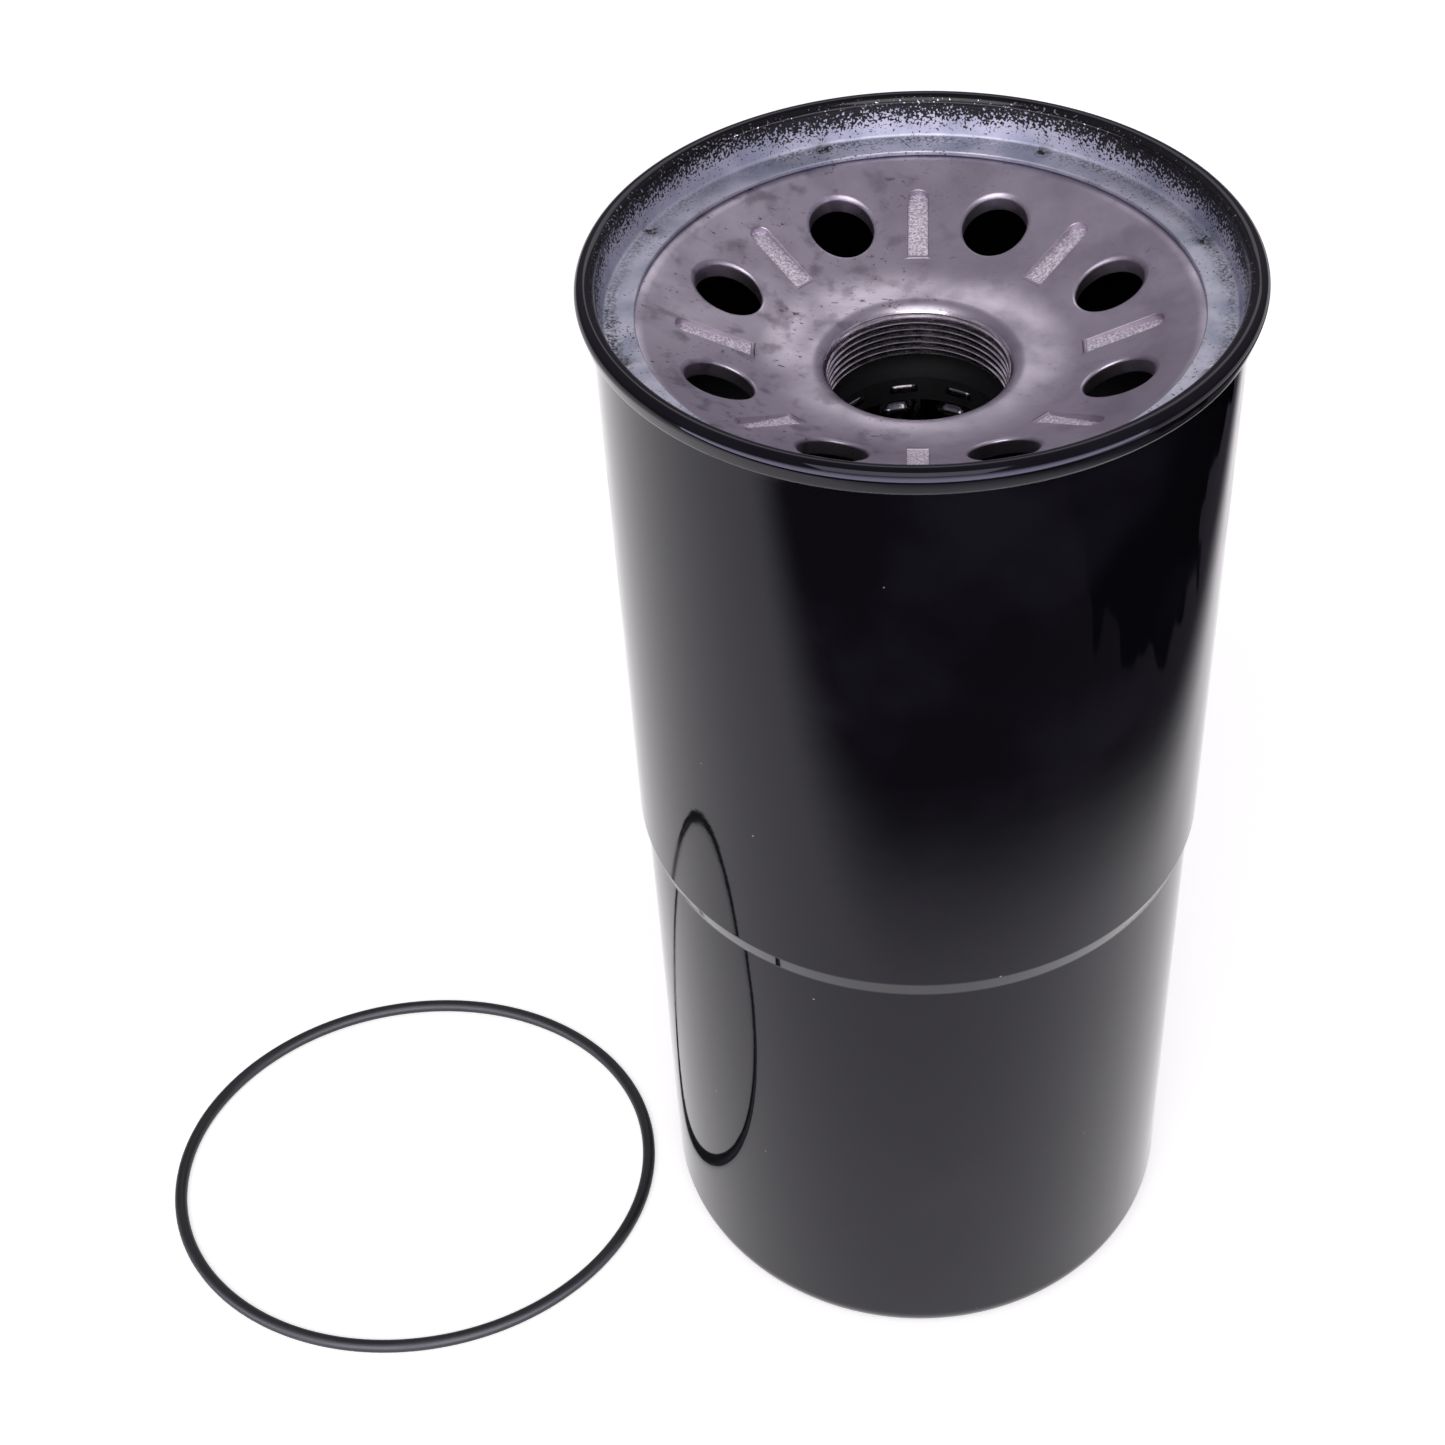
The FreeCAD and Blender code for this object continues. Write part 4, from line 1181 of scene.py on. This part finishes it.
@dataclass
class BasePlate:
    """The dished plate: inlet holes with rounded rims, pressed ribs, and the tapped neck."""

    rim_height: float = 269.3
    rim_start: float = 57.01
    rim_end: float = 62.8
    thick: float = 3.5
    slope: float = 24.2
    blend: float = 25.8
    crest: tuple[float, float] = (22.42, 256.24)
    mouth: float = 4.0
    bore: float = 18.42
    neck_end: float = 243.94
    neck_bend: float = 0.5
    hole_radius: float = 6.8
    hole_circle: float = 42.4
    hole_count: int = 8
    hole_round: float = 0.9
    kept_spoke: float = 10.0
    rings: int = 14
    rib_start: float = 33.9
    rib_end: float = 49.2
    rib_half: float = 2.1
    rib_depth: float = 0.45
    rib_slope: float = 20.0
    major: float = 19.05
    pitch: float = 1.5875
    facets: int = 144

    def build(
        self, steel: bpy.types.Material, coined: bpy.types.Material, tapped: bpy.types.Material
    ) -> None:
        """Model and dress the plate.

        Args:
            steel: The plate's finish.
            coined: The rib floors' finish.
            tapped: The thread's finish.
        """
        plate = self.pierced_slope()
        plate.join(self.neck(), self.rim())
        plate.subtract(self.tap())
        plate.dress(steel)
        plate.dress(coined, self.on_rib_floor)
        plate.dress(tapped, self.in_thread)
        plate.settle("housing", "bare_steel", ("base_plate",), 26.0, True)

    @property
    def tilt(self) -> float:
        """The dish's slope in radians."""
        return math.radians(self.slope)

    @property
    def blend_end(self) -> float:
        """Where the straight slope starts, out from the axis."""
        return self.crest[0] + self.blend * math.sin(self.tilt)

    @property
    def drop(self) -> float:
        """The plate's thickness measured straight down on the slope."""
        return self.thick / math.cos(self.tilt)

    def dish(self, reach: np.ndarray | float) -> np.ndarray | float:
        """The height of the straight slope at a distance from the axis."""
        return self.rim_height - math.tan(self.tilt) * (self.rim_start - reach)

    def drape(self, points: np.ndarray, way: float) -> np.ndarray:
        """Bend a flat sheet down into the dish, or back.

        Args:
            points: The points.
            way: 1 to bend it down, -1 to flatten it.

        Returns:
            The moved points.
        """
        reach = np.hypot(points[:, 0], points[:, 1])
        moved = points.copy()
        moved[:, 2] += way * self.dish(reach)
        return moved

    def pierced_slope(self) -> Workpiece:
        """The sloping part, cut and pressed as a flat sheet and then dished.

        Returns:
            The part, open at its inner and outer edge.
        """
        outline = Outline(self.blend_end, -self.drop)
        outline.line((self.blend_end, 0.0), (self.rim_start, 0.0), (self.rim_start, -self.drop))
        sheet = Workpiece.turned("plate", outline, self.facets)
        sheet.pick("EDGE", self.is_spare_spoke)
        bpy.ops.mesh.dissolve_edges(use_verts=False)
        bpy.ops.object.mode_set(mode="OBJECT")
        sheet.subtract(self.hole_punches())
        sheet.subtract(self.rib_punches())
        sheet.round_edges(self.is_rib_rim, 0.28, 3)
        sheet.edit_all()
        for step in range(self.facets // 2):
            turn = FULL_TURN * step / self.facets
            sheet.slice((0, 0, 0), (-math.sin(turn), math.cos(turn), 0))
        bpy.ops.mesh.select_all(action="SELECT")
        bpy.ops.mesh.remove_doubles(threshold=0.03)
        bpy.ops.object.mode_set(mode="OBJECT")
        sheet.drop_faces(self.is_ring_edge)
        sheet.reshape(lambda points: self.drape(points, 1))
        sheet.edit_all()
        low, high = self.dish(self.blend_end) - self.drop, self.rim_height
        for step in range(1, self.rings):
            sheet.slice((0, 0, low + (high - low) * step / self.rings), (0, 0, 1))
        bpy.ops.mesh.select_all(action="SELECT")
        bpy.ops.mesh.remove_doubles(threshold=0.01)
        bpy.ops.object.mode_set(mode="OBJECT")
        return sheet

    def is_ring_edge(self, face: bmesh.types.BMFace) -> bool:
        """Whether a face is one of the flat sheet's inner or outer edge faces.

        Args:
            face: The face.

        Returns:
            True for an edge face.
        """
        reach = [math.hypot(v.co.x, v.co.y) for v in face.verts]
        near = 0.02
        edges = (self.blend_end, self.rim_start)
        return any(all(abs(r - edge) < near for r in reach) for edge in edges)

    def hole_centres(self) -> list[Vector]:
        """The inlet holes' centres.

        Returns:
            The centres, on the flat sheet.
        """
        step = FULL_TURN / self.hole_count
        turns = [step * (k + 0.5) for k in range(self.hole_count)]
        return [Vector((self.hole_circle * math.cos(a), self.hole_circle * math.sin(a), 0)) for a in turns]

    def is_spare_spoke(self, edge: bmesh.types.BMEdge) -> bool:
        """Whether an edge runs outwards and isn't one of those kept between the ribs and the holes.

        Args:
            edge: The edge.

        Returns:
            True for a spare one.
        """
        middle = (edge.verts[0].co + edge.verts[1].co) / 2
        if not self.blend_end + 1 < math.hypot(middle.x, middle.y) < self.rim_start - 1:
            return False
        step = 360 / self.hole_count
        turn = (math.degrees(math.atan2(middle.y, middle.x)) + step / 2) % step - step / 2
        return abs(abs(turn) - self.kept_spoke) > 0.5

    def is_rib_rim(self, edge: bmesh.types.BMEdge) -> bool:
        """Whether an edge of the flat sheet is the upper outline of a rib.

        Args:
            edge: The edge.

        Returns:
            True on a rib's outline.
        """
        if len(edge.link_faces) != 2 or any(abs(v.co.z) > 0.01 for v in edge.verts):
            return False
        middle = (edge.verts[0].co + edge.verts[1].co) / 2
        along, across = self.in_rib(middle)
        inside = self.rib_start - 1 < along < self.rib_end + 1 and abs(across) < self.rib_half + 0.1
        return inside and edge.calc_face_angle() > 0.4

    def in_rib(self, point: Vector) -> tuple[float, float]:
        """How far out along the nearest rib a point is, and how far across it.

        Args:
            point: The point.

        Returns:
            The way along the rib, and the way across it.
        """
        step = FULL_TURN / self.hole_count
        turn = round(math.atan2(point.y, point.x) / step) * step
        along = point.x * math.cos(turn) + point.y * math.sin(turn)
        across = point.y * math.cos(turn) - point.x * math.sin(turn)
        return along, across

    def hole_punches(self) -> Workpiece:
        """The punches for the inlet holes, flared so that they round the rims; all in one piece.

        Returns:
            The punches.
        """
        radius, over = self.hole_radius, self.hole_round
        outline = Outline(0.0, -self.drop - 1.0)
        outline.line((radius + 1.0, -self.drop - 1.0), (radius + over / 2 - 0.05, -self.drop - 0.01))
        outline.arc((radius + over / 2, -self.drop + over / 2), over / 2, 260, 180, 4)
        outline.arc((radius + over, -over), over, 180, 97, 7)
        outline.line((radius + over + 0.5, 0.2), (radius + over + 0.5, 1.0), (0.0, 1.0))
        punch = Workpiece.turned("hole_punch", outline, 64)
        centre = np.array(self.hole_centres()[0])
        punch.reshape(lambda points: points + centre)
        punch.repeat_around(self.hole_count)
        return punch

    def rib_punches(self) -> Workpiece:
        """The punches for the ribs: round at the outer end, square at the inner end.

        Returns:
            The punches.
        """
        tilt = math.radians(self.rib_slope)
        along = Vector((math.cos(tilt), 0, math.sin(tilt)))
        origin = Vector((self.rib_start, 0, float(self.dish(self.rib_start)) - self.rib_depth))
        length = (self.rib_end - self.rib_start) / math.cos(tilt)
        flat = [(0.0, -self.rib_half)]
        for step in range(13):
            turn = -math.pi / 2 + math.pi * step / 12
            reach = length - self.rib_half + self.rib_half * math.cos(turn)
            flat.append((reach, self.rib_half * math.sin(turn)))
        flat.append((0.0, self.rib_half))
        points = [tuple(origin + along * u + Vector((0, v, 0))) for u, v in flat]
        rise = Vector((-math.sin(tilt), 0, math.cos(tilt))) * 6
        punch = Workpiece.prism("rib_punch", points, rise)
        punch.reshape(lambda spots: self.drape(spots, -1))
        punch.repeat_around(self.hole_count)
        return punch

    def neck(self) -> Workpiece:
        """The level middle of the plate, the mouth and the neck, as an open turned sheet.

        Returns:
            The turned sheet.
        """
        radius, height = self.crest
        outer = self.bore + self.thick
        chamfer = 0.6
        under = self.blend + self.thick
        turn = height - self.mouth
        under_end = math.degrees(math.asin((self.blend_end - radius) / under))
        outline = Outline(self.blend_end, float(self.dish(self.blend_end)) - self.drop)
        outline.arc((radius, height + self.blend), under, -90 + under_end - 1, -90, 12)
        outline.arc((outer + self.neck_bend, turn), self.neck_bend, 90, 180, 4)
        outline.line((outer, self.neck_end), (self.bore + chamfer, self.neck_end))
        outline.line((self.bore, self.neck_end + chamfer), (self.bore, turn))
        outline.arc((self.bore + self.mouth, turn), self.mouth, 180, 90, 14)
        outline.arc((radius, height + self.blend), self.blend, -90, -90 + self.slope, 14)
        return Workpiece.turned("neck", outline, self.facets, closed=False)

    def rim(self) -> Workpiece:
        """The flat rim under the ring, as an open turned sheet.

        Returns:
            The turned sheet.
        """
        base = self.rim_height - self.thick
        outline = Outline(self.rim_start, self.rim_height)
        outline.line((self.rim_end, self.rim_height), (self.rim_end, base))
        outline.line((self.rim_start + self.thick * math.tan(self.tilt / 2), base))
        outline.line((self.rim_start, self.rim_height - self.drop))
        return Workpiece.turned("rim", outline, self.facets, closed=False)

    def tap(self) -> Workpiece:
        """A tap for the neck's thread: sixty-degree teeth on a right-hand helix.

        Returns:
            The tap.
        """
        inner = self.bore - 0.12
        flank = (self.major - inner) * math.tan(math.radians(30))
        flat = self.pitch / 8
        land = self.pitch - flat - 2 * flank
        start = self.neck_end - 2.5 * self.pitch
        rises = (0.0, land, land + flank, land + flank + flat, self.pitch)
        reaches = (inner, inner, self.major, self.major, inner)
        points = [(reach, 0.0, start + rise) for reach, rise in zip(reaches, rises)]
        tool = Workpiece.drawn("tap", points, False)
        tool.activate()
        wind = tool.object.modifiers.new("wind", "SCREW")
        wind.axis = "Z"
        wind.angle = FULL_TURN
        wind.screw_offset = self.pitch
        wind.iterations = math.ceil((self.crest[1] - start) / self.pitch) + 3
        wind.steps = self.facets
        wind.render_steps = self.facets
        wind.use_merge_vertices = True
        wind.merge_threshold = SAME_PLACE
        bpy.ops.object.modifier_apply(modifier=wind.name)
        tool.edit_all()
        bpy.ops.mesh.remove_doubles(threshold=SAME_PLACE)
        tool.slice((0, 0, self.neck_end - self.pitch), (0, 0, 1), Cut.ABOVE)
        tool.slice((0, 0, self.crest[1] + self.pitch), (0, 0, 1), Cut.BELOW)
        tool.weld()
        return tool

    def on_rib_floor(self, face: bpy.types.MeshPolygon) -> bool:
        """Whether a face of the dished plate is the floor of a rib.

        Args:
            face: The face.

        Returns:
            True on a rib's floor.
        """
        along, across = self.in_rib(face.center)
        inside = self.rib_start < along < self.rib_end and abs(across) < self.rib_half
        if not inside or face.normal.z <= 0.8:
            return False
        reach = math.hypot(face.center.x, face.center.y)
        return self.dish(reach) - 2.5 < face.center.z < self.dish(reach) - 0.3

    def in_thread(self, face: bpy.types.MeshPolygon) -> bool:
        """Whether a face is in the neck's bore."""
        reach = math.hypot(face.center.x, face.center.y)
        return reach < self.major + 0.3 and face.center.z < self.crest[1] - 1.6


@dataclass
class CentreTube:
    """The louvred tube inside the element: scoops pressed inwards, in rows that climb around it."""

    radius: float = 20.4
    sheet: float = 0.6
    row_pitch: float = 5.7
    first_row: float = 1.2
    louvre_height: float = 2.0
    louvre_cells: int = 4
    step_cells: int = 8
    scoop: float = 1.0
    facets: int = 80

    def build(self, oiled: bpy.types.Material) -> None:
        """Model and dress the tube between the heights that the CAD tube has.

        Args:
            oiled: The tube's finish.
        """
        low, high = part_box("centre_tube")
        base, top = low.z / MM, high.z / MM
        rows = int((top - base - 4 * self.louvre_height) / self.row_pitch)
        levels = [top - self.first_row - self.louvre_height - self.row_pitch * row for row in range(rows)]
        outline = Outline(self.radius, base)
        for level in reversed(levels):
            outline.line((self.radius, level), (self.radius, level + self.louvre_height))
        outline.line((self.radius, top))
        tube = Workpiece.turned("louvred_tube", outline, self.facets, closed=False)
        tube.pick("FACE", lambda face: self.is_louvre(face, levels))
        bpy.ops.mesh.inset(thickness=0.35, use_boundary=True, use_even_offset=True)
        bpy.ops.transform.shrink_fatten(value=-self.scoop)
        bpy.ops.object.mode_set(mode="OBJECT")
        tube.drop_faces(lambda face: self.is_slit(face, levels))
        wall = tube.object.modifiers.new("wall", "SOLIDIFY")
        wall.thickness = self.sheet
        wall.offset = -1.0
        tube.activate()
        bpy.ops.object.modifier_apply(modifier=wall.name)
        tube.dress(oiled)
        tube.settle("element", "oiled_steel", ("centre_tube",), 80.0)

    def is_louvre(self, face: bmesh.types.BMFace, levels: list[float]) -> bool:
        """Whether a cell of the plain tube is part of a louvre.

        Args:
            face: The face.
            levels: The louvre rows' lower heights.

        Returns:
            True inside a louvre.
        """
        middle = face.calc_center_median()
        rows = [k for k, level in enumerate(levels) if level < middle.z < level + self.louvre_height]
        if not rows:
            return False
        cell = int((math.atan2(middle.y, middle.x) % FULL_TURN) / FULL_TURN * self.facets)
        return (cell - rows[0] + 4) % self.step_cells < self.louvre_cells

    def is_slit(self, face: bmesh.types.BMFace, levels: list[float]) -> bool:
        """Whether a face is the lower flank of a scoop, which is open.

        Args:
            face: The face.
            levels: The louvre rows' lower heights.

        Returns:
            True for an open flank.
        """
        middle = face.calc_center_median()
        reach = math.hypot(middle.x, middle.y)
        pushed = self.radius - 0.9 * self.scoop < reach < self.radius - 0.15 * self.scoop
        return pushed and any(0 <= middle.z - level < 0.4 for level in levels)


@dataclass
class LooseRing:
    """The O-ring that lies beside the can, a little out of round."""

    section: float = 1.65
    long: float = 63.96
    short: float = 56.60
    turn: float = 6.08

    def build(self, rubber: bpy.types.Material) -> None:
        """Bend the ring from a round bar, and put it where the CAD ring is.

        Args:
            rubber: The ring's finish.
        """
        low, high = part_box("o_ring")
        centre = (low + high) / 2
        bpy.ops.object.select_all(action="DESELECT")
        bpy.ops.curve.primitive_bezier_circle_add(radius=1.0)
        line = bpy.context.object
        line.scale = (self.long, self.short, 1.0)
        bpy.ops.object.transform_apply(scale=True)
        for point in line.data.splines[0].bezier_points:
            point.radius = 1.0
        line.data.resolution_u = 48
        line.data.bevel_depth = self.section
        line.data.bevel_resolution = 8
        line.data.use_fill_caps = False
        bpy.ops.object.convert(target="MESH")
        ring = Workpiece("packing_ring")
        turn = Matrix.Rotation(math.radians(self.turn), 3, "Z")
        place = np.array(centre) / MM
        ring.reshape(lambda points: points @ np.array(turn).T + place)
        ring.edit_all()
        ring.weld()
        ring.dress(rubber)
        ring.settle("loose_o_ring", "nitrile_rubber", ("o_ring",), 60.0)


@dataclass
class WireSpring:
    """A round-wire compression spring."""

    node: str
    name: str
    body: str
    joint: str
    radius: float
    wire: float
    pitch: float
    fixed_top: bool
    play: float = 0.05
    facets: int = 20
    steps: int = 48

    def build(self, steel: bpy.types.Material, joints: list[dict]) -> None:
        """Wind the wire where the CAD coil is.

        Args:
            steel: The wire's finish.
            joints: The frame's joints; not used.
        """
        low, high = (corner.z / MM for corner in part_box(self.node))
        half, rise = self.wire / 2, high - low - self.wire
        around = [FULL_TURN * step / self.facets for step in range(self.facets)]
        middle = low + half
        points = [(self.radius + half * math.cos(a), 0.0, middle + half * math.sin(a)) for a in around]
        coil = Workpiece.drawn(self.name, points, True)
        coil.activate()
        wind = coil.object.modifiers.new("wind", "SCREW")
        wind.axis = "Z"
        wind.angle = FULL_TURN * rise / self.pitch
        wind.screw_offset = rise
        wind.steps = wind.render_steps = round(self.steps * rise / self.pitch)
        bpy.ops.object.modifier_apply(modifier=wind.name)
        coil.edit_all()
        bpy.ops.mesh.fill_holes(sides=0)
        coil.weld()
        coil.dress(steel)
        piece = coil.settle(self.body, "spring_steel", (self.node,), 60.0)
        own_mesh(piece)


@dataclass
class CarriedNodes:
    """The CAD nodes whose own shape is right, which only get a finish."""

    nodes: dict

    def build(self, rubber: bpy.types.Material) -> None:
        """Dress every carried-over node.

        Args:
            rubber: The seals' finish.
        """
        cap = SheetMetal("end_cap_steel", "#77777b", "#5b595c", 0.4, 12.0).make()
        clip = SheetMetal("clip_steel", "#9c9ca0", "#838286", 0.3, 6.0).make()
        cage = SheetMetal("cage_steel", "#86868a", "#6c6a6d", 0.36, 8.0).make()
        bond = PouredCompound().make()
        sealant = PouredCompound("seam_compound", "#3a3a3c", "#2b2b2d").make()
        paper = FilterPaper().make()
        band = FilterPaper("band_fibre", "#b9a88a", "#8f7f63").make()
        finishes = {
            "seam_sealant": sealant,
            "inner_seal": rubber,
            "top_end_cap": cap,
            "top_potting": bond,
            "pleated_media": paper,
            "media_seam_clip": clip,
            "pleat_bands": band,
            "bottom_potting": bond,
            "bottom_end_cap": cap,
            "bypass_cage": cage,
            "bypass_poppet": cage,
            "poppet_washer": rubber,
            "spring_cup": cap,
        }
        for name, finish in finishes.items():
            node = self.nodes[name]
            node.data.materials.clear()
            node.data.materials.append(finish)
            LOG.info("%s: carried over in %s", name, finish.name)


@dataclass
class Studio:
    """White paper, soft boxes, a pale room, and the camera."""

    lens: float = 61.1065
    sensor: float = 36.0
    eye: tuple[float, float, float] = (-0.94, -412.59, 545.58)
    forward: tuple[float, float, float] = (-0.07709, 0.72335, -0.68616)
    right: tuple[float, float, float] = (0.99702, 0.05802, -0.05085)
    up: tuple[float, float, float] = (-0.00303, 0.68804, 0.72567)
    reach: float = 6.0
    wall: str = "#77737c"
    ceiling: str = "#a19ca7"
    brightness: float = 0.95
    card_place: tuple[float, float] = (-0.15, -0.42)
    card_size: tuple[float, float] = (2.6, 0.42)

    def build(self) -> None:
        """Set the stage."""
        self.room()
        self.floor()
        self.soft_box("back_box", (0.10, 1.05, 1.25), (0.9, 0.5), 1.8)
        self.bounce_card()
        self.soft_box("upper_front_box", (-0.1, -1.3, 1.6), (1.6, 1.3), 20.0)
        self.camera()

    def room(self) -> None:
        """A grey room whose ceiling is paler than its walls."""
        world = bpy.data.worlds.new("pale_room")
        bpy.context.scene.world = world
        world.use_nodes = True
        tree = world.node_tree
        way = add_node(tree, Step.PLACE).node.outputs["Generated"]
        top = add_node(tree, Step.BAND, add_node(tree, Step.SPLIT, way), 0.1, 0.55)
        light = add_node(tree, Step.TINT, top, linear(self.wall), linear(self.ceiling))
        fill(tree.nodes["Background"], {"Color": light, "Strength": self.brightness})

    def floor(self) -> None:
        """The white paper, and a painted shadow on it that only gloss sees."""
        bpy.ops.object.select_all(action="DESELECT")
        bpy.ops.mesh.primitive_plane_add(size=2 * self.reach)
        paper = bpy.context.object
        paper.name = "studio_paper"
        paper.data.materials.append(StudioPaper().make())
        # A painted shadow, laid just above the paper and seen only in reflections.
        bpy.ops.object.select_all(action="DESELECT")
        bpy.ops.mesh.primitive_plane_add(size=2 * self.reach, location=(0, 0, 0.0004))
        card = bpy.context.object
        card.name = "painted_floor_shadow"
        bpy.ops.object.transform_apply(location=True)
        card.data.materials.append(PaintedFloorShadow().make())
        self.only_in_gloss(card)

    def bounce_card(self) -> None:
        """A lit card low in front, which only gloss sees: it brightens the step and the lip."""
        bpy.ops.object.select_all(action="DESELECT")
        wide, tall = self.card_size
        turn = (math.radians(90), 0, 0)
        bpy.ops.mesh.primitive_plane_add(size=1.0, location=(*self.card_place, tall / 2), rotation=turn)
        card = bpy.context.object
        card.name = "bounce_card"
        card.scale = (wide, tall, 1.0)
        bpy.ops.object.transform_apply(location=True, rotation=True, scale=True)
        card.data.materials.append(LitCard().make())
        self.only_in_gloss(card)

    def only_in_gloss(self, card: bpy.types.Object) -> None:
        """Hide a card from everything but reflections.

        Args:
            card: The card.
        """
        card.visible_camera = False
        card.visible_diffuse = False
        card.visible_shadow = False
        card.visible_transmission = False

    def soft_box(self, name: str, place: tuple, size: tuple[float, float], power: float) -> None:
        """Hang one soft box that faces the filter.

        Args:
            name: The light's name.
            place: Where it hangs, in metres.
            size: Its width and height in metres.
            power: Its power in watts.
        """
        lamp = bpy.data.lights.new(name, "AREA")
        lamp.shape = "RECTANGLE"
        lamp.size, lamp.size_y = size
        lamp.energy = power
        holder = bpy.data.objects.new(name, lamp)
        bpy.context.scene.collection.objects.link(holder)
        holder.location = place
        aim = Vector((0, 0, 0.2)) - Vector(place)
        holder.rotation_euler = aim.to_track_quat("-Z", "Y").to_euler()

    def camera(self) -> None:
        """The camera, a little above the filter and tilted down to it."""
        data = bpy.data.cameras.new("camera")
        data.lens = self.lens
        data.sensor_width = self.sensor
        data.clip_start, data.clip_end = 0.01, 100.0
        eye = bpy.data.objects.new("camera", data)
        bpy.context.scene.collection.objects.link(eye)
        back = -Vector(self.forward)
        axes = Matrix((Vector(self.right), Vector(self.up), back)).transposed().to_4x4()
        eye.matrix_world = Matrix.Translation(Vector(self.eye) * MM) @ axes
        bpy.context.scene.camera = eye


def main() -> None:
    """Build the looks piece by piece around the CAD frame."""
    logging.basicConfig(level=logging.INFO, format="%(name)s: %(message)s")
    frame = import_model()
    for item in bpy.context.scene.objects:
        item.select_set(False)
    bpy.context.scene.view_settings.view_transform = "Standard"
    enamel = GlossEnamel().make()
    rubber = Rubber().make()
    Can().build(enamel)
    SeamingRing().build(OversprayedZinc().make(), enamel)
    BasePlate().build(PressedSteel().make(), CoinedSteel().make(), TappedSteel().make())
    CentreTube().build(OiledSteel().make())
    LooseRing().build(rubber)
    wire = SheetMetal("spring_wire", "#5c5a5c", "#3f3d40", 0.28, 5.0).make()
    springs = (
        WireSpring("element_spring", "element_coil", "housing", "element_float", 29.0, 4.0, 8.4, False),
        WireSpring("bypass_spring", "relief_coil", "element", "bypass_lift", 7.0, 1.4, 4.6, True),
    )
    for spring in springs:
        spring.build(wire, frame["joints"])
    CarriedNodes(frame["nodes"]).build(rubber)
    Studio().build()


if __name__ == "__main__":
    main()
